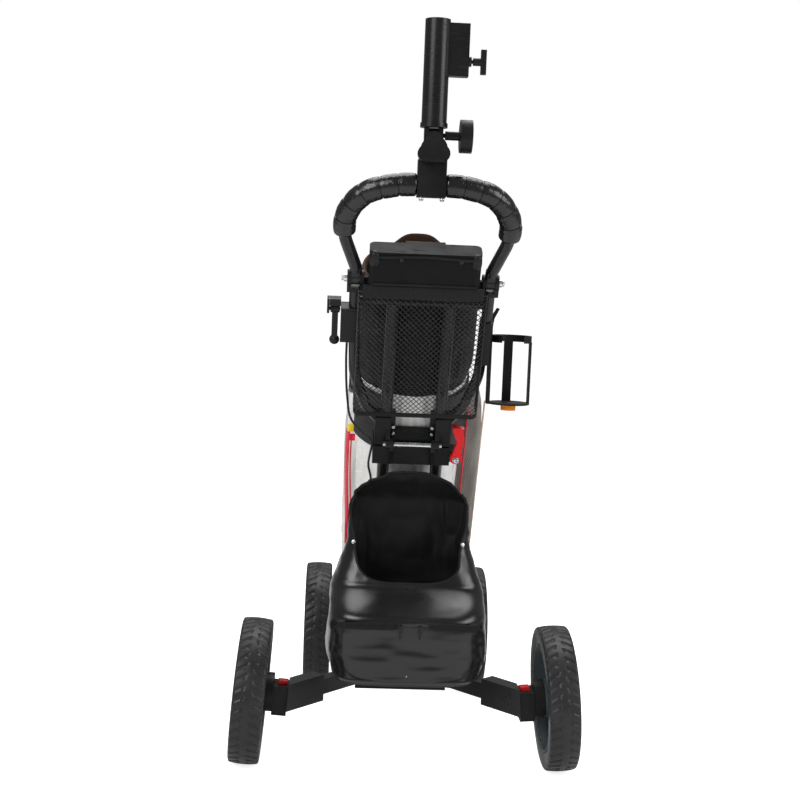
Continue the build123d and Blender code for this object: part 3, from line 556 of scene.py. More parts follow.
def spaced(fine, count):
    # the same line with count places, evenly apart
    lengths = [0]
    for a, b in zip(fine, fine[1:]):
        lengths.append(lengths[-1] + (b - a).length)
    out = []
    k = 0
    for i in range(count):
        want = lengths[-1] * i / (count - 1)
        while k < len(fine) - 2 and lengths[k + 1] < want:
            k += 1
        part = (want - lengths[k]) / max(lengths[k + 1] - lengths[k], 1e-9)
        out.append(fine[k].lerp(fine[k + 1], min(max(part, 0), 1)))
    return out


def framesAlong(path):
    # side and up directions that turn as little as they can along the path
    frames = []
    side = None
    for i, p in enumerate(path):
        ahead = (path[min(i + 1, len(path) - 1)] - path[max(i - 1, 0)]).normalized()
        if side is None:
            side = ahead.orthogonal().normalized()
        side = (side - ahead * side.dot(ahead)).normalized()
        frames.append((p, side, ahead.cross(side)))
    return frames


def addTube(path, radius, sides):
    # a round rod swept along the path, its ends closed; radius is a length or a rule of u and v
    frames = framesAlong(path)
    last = len(path) - 1
    obj = addSheet(sides, last)

    def place(u, v):
        i = min(int(round(v * last)), last)
        p, side, up = frames[i]
        r = radius(u, i / last) if callable(radius) else radius
        return p + side * (r * cos(2 * pi * u)) + up * (r * sin(2 * pi * u))

    shapeBy(obj, place)
    pick(obj)
    bpy.ops.object.mode_set(mode="EDIT")
    bpy.ops.mesh.select_all(action="SELECT")
    bpy.ops.mesh.remove_doubles(threshold=0.00002)
    bpy.ops.mesh.select_all(action="DESELECT")
    bpy.ops.mesh.select_non_manifold()
    bpy.ops.mesh.edge_face_add()
    bpy.ops.object.mode_set(mode="OBJECT")
    recalcOut(obj)
    return obj


def power(value, n):
    # cosine or sine of a rounded square: 2 gives a circle, more gives flatter sides
    return abs(value) ** (2 / n) * (1 if value > 0 else -1)


def addPillow(rule, across, along, n):
    # a closed soft block: rule turns places in a cube from -1 to 1 into the frame
    obj = addSheet(across, along)

    def place(u, v):
        turn, lift = 2 * pi * u, pi * (v - 0.5)
        flat = power(cos(lift), n)
        return rule(flat * power(cos(turn), n), flat * power(sin(turn), n), power(sin(lift), n))

    shapeBy(obj, place)
    recalcOut(obj)
    return obj


def wobble(x, y, z, scale):
    return noise.noise(Vector((x, y, z)) * scale)


def paintFaces(obj, mats, rule):
    # rule gives each face's material number from its middle
    for m in mats:
        obj.data.materials.append(m)
    for f in obj.data.polygons:
        f.material_index = rule(f.center)


# ---- tyres ----
tyreSettings = {
    "radius": 146, "crown": 160, "crownHalf": 27, "seat": 108.4, "seatHalf": 16, "pitches": 44, "steps": 12,
    "depth": 2.2, "treadFrom": 138, "band": 7, "edge": 30.5, "slant": 0.028, "cut": (0.09, 0.15),
    "foot": (8, 11.5), "footPart": (0.45, 0.86), "rearLean": 4,
}
# half width and radius down the side
tyreWall = [(29.4, 142.2), (30.6, 139), (31, 134), (31, 126), (30.4, 117), (28.6, 111), (25.5, 108.4)]


def tyreProfile():
    s = tyreSettings
    half, seat = s["crownHalf"], s["seat"]
    crown = [(x, s["radius"] - x * x / (2 * s["crown"])) for x in range(-half, half + 1, 2)]
    inner = [(s["seatHalf"], seat), (0, seat), (-s["seatHalf"], seat)]
    return crown + tyreWall + inner + [(-x, r) for x, r in reversed(tyreWall)]


def treadDepth(x, turn):
    # plain centre band, then slanted cuts that start with a short foot
    s = tyreSettings
    wide = abs(x)
    if wide < s["band"] or wide > s["edge"]:
        return 0.0
    step = turn * s["pitches"] + (0.5 if x > 0 else 0.0)
    part = (step - (wide - s["band"]) * s["slant"]) % 1.0
    cut = 1 - smoothStep(abs(part - 0.5), *s["cut"])
    foot = s["foot"][0] < wide < s["foot"][1] and s["footPart"][0] < part < s["footPart"][1]
    return s["depth"] * (1.0 if foot else cut)


def makeTyre(node, lean, body):
    s = tyreSettings
    profile = tyreProfile()
    around = s["pitches"] * s["steps"]
    rows = len(profile)
    obj = addSheet(around, rows)

    def place(u, v):
        x, r = profile[int(round(v * rows)) % rows]
        r -= treadDepth(x, u) if r > s["treadFrom"] else 0.0
        return Vector((x * mm, r * mm * cos(2 * pi * u), r * mm * sin(2 * pi * u)))

    shapeBy(obj, place)
    obj.matrix_world = Matrix.Translation(boxMiddle(node)) @ Matrix.Rotation(radians(lean), 4, "Y")
    freeze(obj)
    recalcOut(obj)
    finishPiece(obj, node + "_tread", tyreRubber, body, 50)
    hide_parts(node)


for side, sign in (("left", 1), ("right", -1)):
    makeTyre("tyre_rear_" + side, sign * tyreSettings["rearLean"], "wheel_rear_" + side)
    makeTyre("tyre_front_" + side, 0, "wheel_front_" + side)
print("tyres made")

# ---- grips ----
gripSettings = {
    "radius": 21.3, "start": 27, "end": (154.1, 105), "parts": 6, "groove": 1.8, "grooveEdge": (0.5, 1.2),
    "rise": 0.6, "riseOver": 0.3, "nose": 4.0, "dash": 11, "dashAround": (0.28, 0.72), "dashAlong": (0.3, 0.75),
    "dashHeight": 0.3, "dashEdge": 5, "dashEnds": 8, "rows": 300, "sides": 88,
}
# across, height and radius of each corner of the handle's loop, and where the loop ends
loopCorners = [(56, placeSettings["loopTop"], 150), (124, 196, 80), (157, 140, 80), (153, 92, 80)]
loopFoot = (130, 24)


def loopPath(sign):
    pts = [Vector((0, placeSettings["loopTop"]))] + [Vector(c[:2]) for c in loopCorners] + [Vector(loopFoot)]
    fine = [pts[0]]
    for k in range(1, len(pts) - 1):
        before, after = (pts[k - 1] - pts[k]).normalized(), (pts[k + 1] - pts[k]).normalized()
        half = before.angle(after) / 2
        r = loopCorners[k - 1][2]
        reach = r / tan(half)
        centre = pts[k] + (before + after).normalized() * (r / sin(half))
        start, end = pts[k] + before * reach - centre, pts[k] + after * reach - centre
        sweep = start.angle_signed(end)
        for i in range(25):
            t = -sweep * i / 24
            turned = Vector((start.x * cos(t) - start.y * sin(t), start.x * sin(t) + start.y * cos(t)))
            fine.append(centre + turned)
    fine.append(pts[-1])
    return [onHandle(sign * p.x, 0, p.y) for p in fine]


def makeGrip(side, sign):
    g = gripSettings
    fine = spaced(loopPath(sign), 900)
    startPoint = onHandle(sign * g["start"], 0, placeSettings["loopTop"])
    endPoint = onHandle(sign * g["end"][0], 0, g["end"][1])
    first = min(range(len(fine)), key=lambda i: (fine[i] - startPoint).length)
    last = min(range(len(fine)), key=lambda i: (fine[i] - endPoint).length)
    path = spaced(fine[first:last + 1], g["rows"] + 1)
    total = sum((b - a).length for a, b in zip(path, path[1:])) / mm
    partLength = total / g["parts"]

    def swell(u, v):
        along = v * total
        inPart = along % partLength
        edge = min(inPart, partLength - inPart)
        ends = min(along, total - along)
        r = g["radius"] - g["rise"] + g["rise"] * smoothStep(edge, 0, partLength * g["riseOver"])
        if ends > 3:
            r -= g["groove"] * (1 - smoothStep(edge, *g["grooveEdge"]))
        r -= g["nose"] * (1 - sqrt(max(0.0, 1 - (1 - min(ends / g["nose"], 1)) ** 2)))
        around, row = (u * g["dash"]) % 1.0, (along / g["dash"]) % 1.0
        inDash = g["dashAround"][0] < around < g["dashAround"][1]
        inRow = g["dashAlong"][0] < row < g["dashAlong"][1]
        if inDash and inRow and edge > g["dashEdge"] and ends > g["dashEnds"]:
            r += g["dashHeight"]
        return r * mm

    obj = addTube(path, swell, g["sides"])
    finishPiece(obj, "grip_" + side + "_moulded", gripRubber, "handle", 40)
    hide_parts("grip_" + side)


makeGrip("left", -1)
makeGrip("right", 1)
print("grips made")

# ---- storage bag ----
# height, then half width or how far forward the front wall is
tubWidth = [(184, 147), (240, 162), (330, 159), (456, 127), (515, 126), (552, 112), (580, 84), (603, 54)]
tubFront = [(184, 137), (204, 142), (520, 142), (582, 103), (603, 98)]
tubSettings = {
    "corner": 3.6, "floor": 184, "lip": 374, "top": 603, "lipY": -5, "topY": 95, "wallTop": 312, "rear": -79,
    "floorRear": -73, "footTop": 198, "shoulder": 456, "split": 0.31, "rise": 130, "footIn": 0.97,
    "footRound": 12, "sag": 7, "sagHalf": 160, "cloth": 2.4, "around": 200, "rows": 130, "floorRows": 12,
}
creaseSettings = {"collar": (330, 430), "side": (60, 110), "folds": 15, "smallFolds": 4, "slack": 5,
                  "dents": 2.0, "pull": 2.0, "settle": 28}


def tubRear(z):
    s = tubSettings
    foot = [(s["floor"], s["floorRear"]), (s["footTop"], s["rear"])]
    wall = foot + [(s["wallTop"], s["rear"]), (s["lip"], s["lipY"])]
    if z <= s["lip"]:
        return blendTable(z, wall)
    return s["lipY"] + (z - s["lip"]) * (s["topY"] - s["lipY"]) / (s["top"] - s["lip"])


def tubPlace(u, z, shrink):
    # u from 0 at the right side, 0.25 at the front, 0.5 left, 0.75 at the rear
    n = tubSettings["corner"]
    w, rear, front = blendTable(z, tubWidth), tubRear(z), blendTable(z, tubFront)
    c, s = power(cos(2 * pi * u), n), power(sin(2 * pi * u), n)
    return w * c * shrink, (rear + front) / 2 + (front - rear) / 2 * s * shrink, z


def tubCrease(x, y, z):
    # slack cloth: upright folds in the collar, slow dents lower down
    c = creaseSettings
    high = smoothStep(z, *c["collar"]) * (0.25 + 0.75 * smoothStep(y, *c["side"]))
    folds = wobble(x, y * 0.6, z * 0.4, 0.026) * c["folds"] + wobble(x, y, z * 0.5, 0.06) * c["smallFolds"]
    slack = wobble(x, y, z * 1.4, 0.014) * c["slack"] + wobble(x * 0.5, y * 0.5, z * 1.6, 0.04) * c["dents"]
    return -abs(folds) * high - (c["pull"] + slack) * (1 - high) * 0.8


def toFrame(x, y, z):
    # millimetres from the middle of the rear axle line, on the ground
    return Vector((x * mm, rearAxleY + y * mm, z * mm))


def rimHeight(u):
    # the mouth dips at the rear and rises to a round collar on the far side
    s = tubSettings
    q = abs(((u - 0.25) % 1.0) - 0.5) * 2
    if q < s["split"]:
        return s["lip"] + (s["shoulder"] - s["lip"]) * (q / s["split"]) ** 2.3
    return s["shoulder"] + s["rise"] * sin((q - s["split"]) / (1 - s["split"]) * pi / 2) ** 0.8


def tubWall(u, part):
    # outer face of the wall: part runs from the floor edge at 0 to the rim at 1
    s = tubSettings
    z = s["floor"] + (rimHeight(u) - s["floor"]) * part
    up = z - s["floor"]
    x, y, z = tubPlace(u, z, s["footIn"] + (1 - s["footIn"]) * smoothStep(up, 0, s["footRound"]))
    inward = tubCrease(x, y, z) * smoothStep(up, 0, creaseSettings["settle"])
    middle = Vector((0, (tubRear(z) + blendTable(z, tubFront)) / 2))
    away = (Vector((x, y)) - middle).normalized()
    return toFrame(x + away.x * inward, y + away.y * inward, z)


def makeTub():
    s = tubSettings
    rows, floorRows = s["rows"], s["floorRows"]
    obj = addSheet(s["around"], rows + floorRows)

    def place(u, v):
        row = v * (rows + floorRows) - floorRows
        if row < 0:
            x, y, z = tubPlace(u, s["floor"], (1 + row / floorRows) * s["footIn"])
            return toFrame(x, y, z - s["sag"] * (1 - (x / s["sagHalf"]) ** 2) * smoothStep(-row, 0, 4))
        return tubWall(u, row / rows)

    shapeBy(obj, place)
    recalcOut(obj)
    obj.data.materials.append(blackCloth)
    obj.data.materials.append(liningCloth)
    thicken(obj, s["cloth"], -1, 1)
    finishPiece(obj, "storage_bag_shell", None, "root", 60)
    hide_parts("storage_bag")


makeTub()
print("storage bag made")

# ---- golf bag ----
# a is how far forward of the rails, b how far up along them, in millimetres
clubSettings = {
    "middle": 125, "halfX": 117, "halfA": 110, "low": -528, "high": 304, "around": 180, "rows": 160,
    "footRows": 8, "footIn": 0.98, "pleat": 6, "sway": 2, "bulge": 9, "bulgeUp": (96, 130),
    "bulgeDown": (270, 300), "cloth": 4, "blackFrom": 96,
}
cuffSettings = {"around": 120, "rows": 24, "thick": 4.6, "half": 17, "lift": 22, "liftHalf": 46, "middle": 321,
                "inset": 0.965, "square": 2.6, "bar": 7, "barB": 322}
# dividers between the clubs, from (x, a) to (x, a)
cuffBars = [(-104, 100, 104, 100), (-100, 158, 100, 158), (0, 30, 0, 100), (-36, 100, -36, 218),
            (36, 100, 36, 218)]
sidePocket = {"x": 100, "reach": {-1: 18, 1: 30}, "a": 154, "halfA": 60, "b": -200, "halfB": 238, "slack": 3,
              "panelA": 150, "panelB": -390, "panelMiddle": 110}
frontPocket = {"halfX": 84, "a": 232, "halfA": 40, "b": -250, "halfB": 188, "slack": 3}
pocketSquare = 4.5
# name, x, a and material of each piping, all from low up by long and curling in at the foot
pipings = [("red", 122, 90, stripeRed), ("pale", 158.5, 112, pipingCloth)]
pipingSettings = {"low": -425, "long": 455, "curl": 12, "curlEnd": 0.16, "radius": 2.0, "count": 60}


def clubPlace(u, out=0.0):
    s = clubSettings
    turn = 2 * pi * u
    return (s["halfX"] + out) * cos(turn), s["middle"] + (s["halfA"] + out) * sin(turn)


def makeClubBag():
    s = clubSettings
    rows, footRows = s["rows"], s["footRows"]
    obj = addSheet(s["around"], rows + footRows)

    def place(u, v):
        row = v * (rows + footRows) - footRows
        x, a = clubPlace(u)
        if row < 0:
            shrink = (1 + row / footRows) * s["footIn"]
            return onMast(x * shrink, s["middle"] + (a - s["middle"]) * shrink, s["low"])
        b = s["low"] + (s["high"] - s["low"]) * row / rows
        pleat = abs(wobble(x * 1.2, a * 1.2, b * 0.16, 0.05)) * s["pleat"] + wobble(x, a, b, 0.02) * s["sway"]
        calm = smoothStep(row, 0, 6) * (1 - smoothStep(row, rows - 6, rows))
        bulge = s["bulge"] * smoothStep(b, *s["bulgeUp"]) * (1 - smoothStep(b, *s["bulgeDown"]))
        x, a = clubPlace(u, -0.5 - abs(pleat) * calm + bulge)
        return onMast(x, a, b)

    shapeBy(obj, place)
    recalcOut(obj)

    def paint(p):
        return 1 if (p - datum).dot(mastUp) / mm > s["blackFrom"] else 0

    paintFaces(obj, [bagWhite, blackCloth], paint)
    thicken(obj, s["cloth"], -1)
    finishPiece(obj, "golf_bag_skin", None, "root", 60)
    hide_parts("golf_bag_body")


def makeCuff():
    # padded collar round the top, higher on the far side, with the club dividers
    s, c = clubSettings, cuffSettings
    obj = addSheet(c["around"], c["rows"])

    def place(u, v):
        turn = 2 * pi * v
        x, a = clubPlace(u)
        lift = c["lift"] * exp(-((x / c["liftHalf"]) ** 4)) if a > s["middle"] else 0.0
        across = power(cos(turn), c["square"]) * c["thick"]
        up = power(sin(turn), c["square"]) * (c["half"] + lift / 2)
        return onMast(x * (1 + across / s["halfX"]) * c["inset"],
                      s["middle"] + (a - s["middle"]) * (1 + across / (s["halfA"] + 1)) * c["inset"],
                      c["middle"] + lift / 2 + up)

    shapeBy(obj, place)
    recalcOut(obj)
    bars = []
    for x0, a0, x1, a1 in cuffBars:
        start, end = onMast(x0, a0, c["barB"]), onMast(x1, a1, c["barB"])
        bars.append(addTube(spaced([start, end], 20), c["bar"] * mm, 16))
    obj = joinPieces([obj] + bars)
    finishPiece(obj, "golf_bag_collar", brownLining, "root", 50)
    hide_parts("golf_bag_cuff")


def makeSidePocket(side, sign):
    s = sidePocket

    def place(p, q, r):
        slack = wobble(p * 60, q * 60, r * 200, 0.03) * s["slack"]
        reach = s["reach"][sign]
        return onMast(sign * (s["x"] + reach + (reach + slack) * p * sign), s["a"] + (s["halfA"] + slack) * q,
                      s["b"] + s["halfB"] * r)

    def paint(p):
        # mesh panel on the right pocket only, nearest the rails
        a, b = (p - datum).dot(mastFwd) / mm, (p - datum).dot(mastUp) / mm
        panel = a < s["panelA"] and b > s["panelB"] + abs(a - s["panelMiddle"])
        return 1 if sign > 0 and panel else 0

    pocket = addPillow(place, 120, 140, pocketSquare)
    paintFaces(pocket, [bagPrinted, greyMesh], paint)
    return finishPiece(pocket, "golf_bag_pocket_" + side, None, "root", 60)


def makeFrontPocket():
    s = frontPocket

    def place(p, q, r):
        slack = wobble(p * 80, q * 40, r * 190, 0.03) * s["slack"]
        return onMast((s["halfX"] + slack) * p, s["a"] + (s["halfA"] + slack) * q, s["b"] + s["halfB"] * r)

    pocket = addPillow(place, 64, 64, pocketSquare)
    finishPiece(pocket, "golf_bag_pocket_front", bagWhite, "root", 60)
    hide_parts("golf_bag_pockets")
    return pocket


def makePiping():
    s = pipingSettings
    for name, x, a, mat in pipings:
        edge = []
        for k in range(s["count"]):
            v = k / (s["count"] - 1)
            curl = s["curl"] * (1 - smoothStep(v, 0, s["curlEnd"]))
            edge.append(onMast(x - curl, a, s["low"] + s["long"] * v))
        tube = addTube(edge, s["radius"] * mm, 8)
        finishPiece(tube, "golf_bag_piping_" + name, mat, "root", 40)


makeClubBag()
makeCuff()
for pocket in (makeSidePocket("left", -1), makeSidePocket("right", 1), makeFrontPocket()):
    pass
makePiping()
print("golf bag made")

# ---- net pocket ----
netSettings = {
    "half": 124, "low": 94, "high": 366, "cell": 7.6, "cells": 62, "cordWidth": 2.1, "sag": 2.5, "wrap": 16,
    "flatIn": 14, "bendRadius": 13.5, "bendRun": 20, "slope": 0.9, "rail": -17.5, "cloth": 2.2,
}
# how far behind the rails the rear sheet is at its foot, its bend and its top
netRear = {"foot": (92, -53), "bend": (122, -58.6), "top": (370, -39.4)}


def netPlace(across, b):
    # across runs over the rear sheet and round both side edges to the front rails
    s = netSettings
    (footB, footA), (bendB, bendA), (topB, topA) = netRear["foot"], netRear["bend"], netRear["top"]
    if b > bendB:
        back = bendA + (b - bendB) * (topA - bendA) / (topB - bendB)
    else:
        back = footA + (bendA - footA) * smoothStep(b, footB, bendB)
    flat = s["half"] - s["flatIn"]
    over = abs(across) - flat
    if over <= 0:
        return across, back, b
    turn = min(over / s["bendRun"], 1) * (pi / 2)
    x = flat + s["bendRadius"] * sin(turn)
    a = back + s["bendRadius"] * (1 - cos(turn)) + max(over - s["bendRun"], 0) * s["slope"]
    return (x if across > 0 else -x), min(a, s["rail"]), b


def makeNet():
    s = netSettings
    clearSelection()
    cells = s["cells"]
    bpy.ops.mesh.primitive_grid_add(x_subdivisions=cells, y_subdivisions=cells, size=cells * s["cell"] * mm)
    obj = bpy.context.object
    obj.rotation_euler = (0, 0, pi / 4)
    freeze(obj)
    wide = s["half"] + s["wrap"]
    tall = (s["high"] - s["low"]) / 2
    cuts = ((wide, 0, 1, 0), (-wide, 0, -1, 0), (0, tall, 0, 1), (0, -tall, 0, -1))
    for x, y, nx, ny in cuts:
        bpy.ops.object.mode_set(mode="EDIT")
        bpy.ops.mesh.select_all(action="SELECT")
        bpy.ops.mesh.bisect(plane_co=(x * mm, y * mm, 0), plane_no=(nx, ny, 0), clear_outer=True)
        bpy.ops.object.mode_set(mode="OBJECT")
    middle = (s["low"] + s["high"]) / 2

    def place(x, y):
        sag = s["sag"] * wobble(x / mm, y / mm, 0, 0.012)
        px, pa, pb = netPlace(x / mm, middle + y / mm)
        return onMast(px, min(pa + abs(sag), s["rail"]), pb)

    shapeBy(obj, place)
    wire = obj.modifiers.new("cords", "WIREFRAME")
    wire.thickness = s["cordWidth"] * mm
    wire.use_even_offset = False
    applyAll(obj)
    finishPiece(obj, "net_pocket_mesh", netCord, "upper_frame", 0)
    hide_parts("mesh_pocket")


def makeNetHem():
    # turned cloth edge along the top, a seam at the foot and a binding down both sides
    s = netSettings
    low, high, half = s["low"], s["high"], s["half"]
    parts = []
    for bottom, top, reach in ((high - 10, high + 15, half - 9), (low - 1.5, low + 8, half + s["wrap"])):
        band = addSheet(120, 6)

        def place(u, v, bottom=bottom, top=top, reach=reach):
            x, a, b = netPlace((u - 0.5) * 2 * reach, bottom + (top - bottom) * v)
            return onMast(x, min(a, s["rail"]), b)

        shapeBy(band, place)
        thicken(band, s["cloth"])
        parts.append(band)
    for sign in (-1, 1):
        edge = [onMast(sign * (half - 0.8), -18.6, low + (high - low) * k / 40) for k in range(41)]
        parts.append(addTube(edge, 2.0 * mm, 10))
    finishPiece(joinPieces(parts), "net_pocket_hem", webbing, "upper_frame", 50)


makeNet()
makeNetHem()
print("net pocket made")

# ---- strap and buckle ----
strapSettings = {"halfX": 120.2, "halfA": 113.2, "from": -20, "sweep": 220, "low": 51, "wide": 36, "cloth": 2.2}
buckleSettings = {"size": (0.014, 0.034, 0.044), "place": (-124, 112, 69), "rib": (0.004, 0.032, 0.0028),
                  "ribPlace": (-131, 112, 50), "ribs": 8, "pitch": 5.4}


def makeStrap():
    s = strapSettings
    band = addSheet(120, 8)

    def place(u, v):
        turn = radians(s["from"] + s["sweep"] * u)
        a = clubSettings["middle"] + s["halfA"] * sin(turn)
        return onMast(s["halfX"] * cos(turn), a, s["low"] + s["wide"] * v)

    shapeBy(band, place)
    thicken(band, s["cloth"])
    k = buckleSettings
    turn = Matrix.Rotation(-radians(90 - placeSettings["mast"]), 3, "X")
    x, a, b = k["ribPlace"]
    ribs = [addRoundBlock(k["rib"], onMast(x, a, b + i * k["pitch"]), 0.0008, turn) for i in range(k["ribs"])]
    body = addRoundBlock(k["size"], onMast(*k["place"]), 0.003, turn)
    finishPiece(joinPieces([body] + ribs), "strap_buckle", glossBlack, "root", 40)
    finishPiece(band, "strap_webbing", webbing, "root", 50)
    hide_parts("bag_strap")


makeStrap()

# ---- brake cables ----
# (x, a, b) beside the posts and under the rails, then (x, y, z) at the base
upperRun = [(-142, -4, 238), (-142, -4, 196), (-140, -16, 150), (-136, -30, 112), (-129, -40, 78),
            (-108, -46, 50), (-90, -46, 34), (-83, -41, 17)]
lowerRun = [(-83, -39, 8), (-86, -30, -22), (-87, -16, -58), (-80, -3, -100), (-76, 0, -155), (-75, 1, -215),
            (-76, 1, -275), (-75, 0, -335), (-76, -1, -395), (-74, -8, -450)]
castingRun = [(-66, 270, 214), (-52, 222, 192), (-40, 183, 180)]
cableSettings = {"radius": 2.4, "bendFrom": (-84, -36, -8), "bendTo": (-84, -36, 34), "legRadius": 2.3}


def makeCable():
    s = cableSettings
    points = [onMast(*p) for p in upperRun + lowerRun] + [toFrame(*p) for p in castingRun]
    obj = addTube(curveThrough(points, 260), s["radius"] * mm, 12)
    finishPiece(obj, "brake_cable_run", cableSheath, None, 50)
    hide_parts("brake_cable_upper", "brake_cable_lower")
    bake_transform(obj)


makeCable()
print("strap and cables made")

# ---- storage bag: zip pocket, bindings, snaps and eyelet ----
pocketSettings = {
    "half": 150, "low": 196, "high": 312, "corner": 7, "inset": 10, "piping": 1.7, "zip": 305, "zipHalf": 138,
    "tape": 14, "tapeCloth": 1.4,
}
toothSettings = {"size": (0.0017, 0.0016, 0.0042), "bevel": 0.0003, "count": 92, "pitch": 2.9, "start": -133}


def tubRearPlace(x, z, out):
    # a place on the rear wall, x across and z up, standing out by out
    edge = abs(x) / blendTable(z, tubWidth)
    curve = 6.0 * edge ** 6
    slack = wobble(x, tubSettings["rear"], z * 1.4, 0.014) * 3
    return toFrame(x, tubRear(z) + 1.6 + curve - out + slack * 0.6, z)


def makePocketTrim():
    s, tooth = pocketSettings, toothSettings
    ring = []
    for k in range(160):
        turn = 2 * pi * k / 160
        x = s["half"] * power(cos(turn), s["corner"])
        z = (s["low"] + s["high"]) / 2 + (s["high"] - s["low"]) / 2 * power(sin(turn), s["corner"])
        half = blendTable(z, tubWidth) - s["inset"]
        ring.append(tubRearPlace(max(-half, min(half, x)), z, 0.8))
    ring.append(ring[0].copy())
    edge = addTube(spaced(ring, 220), s["piping"] * mm, 8)
    finishPiece(edge, "storage_bag_pocket_piping", webbing, "root", 50)
    tape = addSheet(140, 4)

    def place(u, v):
        return tubRearPlace((u - 0.5) * 2 * s["zipHalf"], s["zip"] + (v - 0.5) * s["tape"], 0.9)

    shapeBy(tape, place)
    thicken(tape, s["tapeCloth"])
    finishPiece(tape, "storage_bag_zip_tape", webbing, "root", 50)
    obj = addRoundBlock(tooth["size"], (0, 0, 0), tooth["bevel"], segments=1)
    row = obj.modifiers.new("row", "ARRAY")
    row.count = tooth["count"]
    row.relative_offset_displace = (0, 0, 0)
    row.use_relative_offset = False
    row.use_constant_offset = True
    row.constant_offset_displace = (tooth["pitch"] * mm, 0, 0)
    applyAll(obj)
    for v in obj.data.vertices:
        # every other tooth sits higher
        side = 1 if int(round((v.co.x / mm) / tooth["pitch"])) % 2 else -1
        x, z = v.co.x / mm + tooth["start"], s["zip"] + side * 1.0 + v.co.z / mm
        v.co = tubRearPlace(x, z, 1.9 - v.co.y / mm)
    recalcOut(obj)
    finishPiece(obj, "storage_bag_zip_teeth", glossBlack, "root", 0)


def makeRimBinding():
    ring = [tubWall(k / 240, 1.0) for k in range(241)]
    binding = addTube(spaced(ring, 300), 2.8 * mm, 10)
    finishPiece(binding, "storage_bag_binding", webbing, "root", 50)


def addStud(name, place, facing, radius, mat, body, height=2.4):
    # domed head with a rim, its axis along facing
    clearSelection()
    bpy.ops.mesh.primitive_cylinder_add(vertices=24, radius=radius * mm, depth=height * mm)
    obj = bpy.context.object
    bpy.ops.object.mode_set(mode="EDIT")
    bpy.ops.mesh.select_all(action="SELECT")
    bpy.ops.mesh.bevel(offset=min(radius, height) * 0.32 * mm, segments=3, affect="EDGES")
    bpy.ops.object.mode_set(mode="OBJECT")
    obj.matrix_world = Matrix.Translation(place) @ Vector(facing).to_track_quat("Z", "Y").to_matrix().to_4x4()
    return finishPiece(obj, name, mat, body, 40)


def makeTubFittings():
    for side, sign in (("left", -1), ("right", 1)):
        place = tubWall(0.75 + sign * 0.152, 0.985) + Vector((sign * 0.001, -0.0025, 0))
        addStud("storage_bag_snap_" + side, place, (sign * 0.3, -1, 0.2), 4.2, zincSteel, "root")
    clearSelection()
    bpy.ops.mesh.primitive_torus_add(major_radius=0.0052, minor_radius=0.0017, major_segments=32,
                                     minor_segments=10)
    ring = bpy.context.object
    ring.matrix_world = Matrix.Translation(tubRearPlace(4, 205, 1.2)) @ Matrix.Rotation(pi / 2, 4, "X")
    finishPiece(ring, "storage_bag_eyelet", zincSteel, "root", 60)
    heights = [196 + 350 * k / 60 for k in range(61)]
    for side, sign in (("left", -1), ("right", 1)):
        seam = []
        for z in heights:
            seam.append(toFrame(sign * (blendTable(z, tubWidth) - 3), 62 + 30 * smoothStep(z, 380, 560), z))
        tube = addTube(spaced(seam, 100), 1.8 * mm, 8)
        finishPiece(tube, "storage_bag_seam_" + side, webbing, "root", 50)


makePocketTrim()
makeRimBinding()
makeTubFittings()
print("storage bag fittings made")
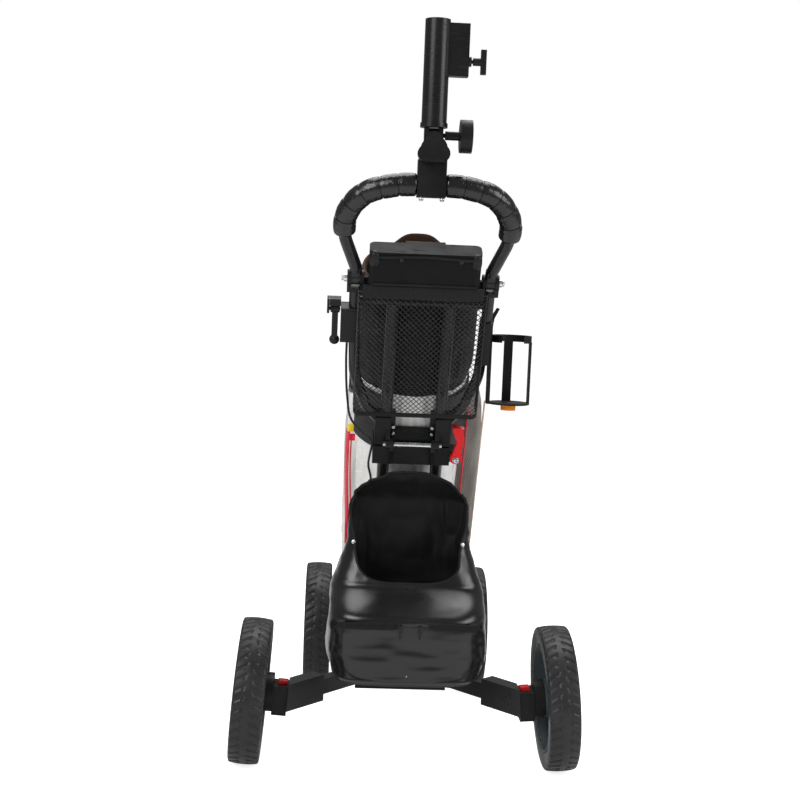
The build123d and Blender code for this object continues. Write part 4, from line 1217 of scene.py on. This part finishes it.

# ---- bolts, and the knobs, edging and pegs on the console ----


def addBolt(name, place, facing, radius, body):
    # round-headed bolt with a sunk drive
    out = Vector(facing).normalized()
    head = addStud(name, place + out * 0.003, facing, radius, zincSteel, body, 4.0)
    pick(head)
    bpy.ops.object.mode_set(mode="EDIT")
    bpy.ops.mesh.select_all(action="DESELECT")
    bpy.ops.object.mode_set(mode="OBJECT")
    best = max(head.data.polygons, key=lambda f: f.normal.dot(out) + f.area * 1000)
    best.select = True
    bpy.ops.object.mode_set(mode="EDIT")
    bpy.ops.mesh.inset(thickness=radius * 0.35 * mm, depth=0)
    bpy.ops.mesh.extrude_region_move(TRANSFORM_OT_translate={"value": tuple(-out * 0.0016)})
    bpy.ops.object.mode_set(mode="OBJECT")


def makeBolts():
    back = mastFwd * -1
    for side, sign in (("left", -1), ("right", 1)):
        gripFoot = gripTop + Vector((sign * 0.019, -0.019, -0.024))
        clamp = clampPoint + Vector((sign * 0.152, 0, 0))
        addBolt("clamp_bolt_" + side, clamp, (sign, 0, 0), 6.0, "upper_frame")
        addBolt("grip_bolt_" + side, gripFoot, (0, -0.6, -1), 4.4, "handle")
        addBolt("saddle_bolt_low_" + side, onMast(sign * 40, -11, 24), back, 3.6, "upper_frame")
        addBolt("saddle_bolt_high_" + side, onMast(sign * 40, -11, 40), back, 3.6, "upper_frame")
    addBolt("latch_bolt_head", onMast(92, -38, -22), back, 5.5, "root")


def makeConsoleTrim():
    parts = []
    for sign in (-1, 1):
        def lump(p, q, r, sign=sign):
            return onMast(sign * 96 + 10 * p, -36 + 10 * q, 436 + 17 * r)

        parts.append(addPillow(lump, 24, 16, 2.4))
    across = range(-98, 99, 4)
    parts.append(addTube([onMast(x, -41.5, 444 + 2.0 * cos(x * 0.03)) for x in across], 3.4 * mm, 10))
    parts.append(addTube([onMast(x, -41.5, 386) for x in across], 2.4 * mm, 10))
    finishPiece(joinPieces(parts), "console_edging", blackPlastic, "upper_frame", 50)
    for name, x in (("left", -46), ("right", 66)):
        addStud("console_peg_" + name, onMast(x, -44, 440), mastFwd * -1, 4.2, glossBlack, "upper_frame",
                5.0)


makeBolts()
makeConsoleTrim()

# ---- cables along the legs ----
legRuns = {
    "left": [(-128, 76, 168), (-118, 88, 150), (-104, 112, 138), (-84, 150, 130), (-70, 150, 122)],
    "right": [(74, 150, 122), (98, 132, 122), (122, 104, 128), (150, 74, 136), (176, 46, 140)],
}


def makeLegCables():
    for side, run in legRuns.items():
        obj = addTube(curveThrough([toFrame(*p) for p in run], 60), cableSettings["legRadius"] * mm, 10)
        finishPiece(obj, "leg_cable_" + side, cableSheath, "leg_" + side + "_body", 50)


makeLegCables()
print("small fittings made")
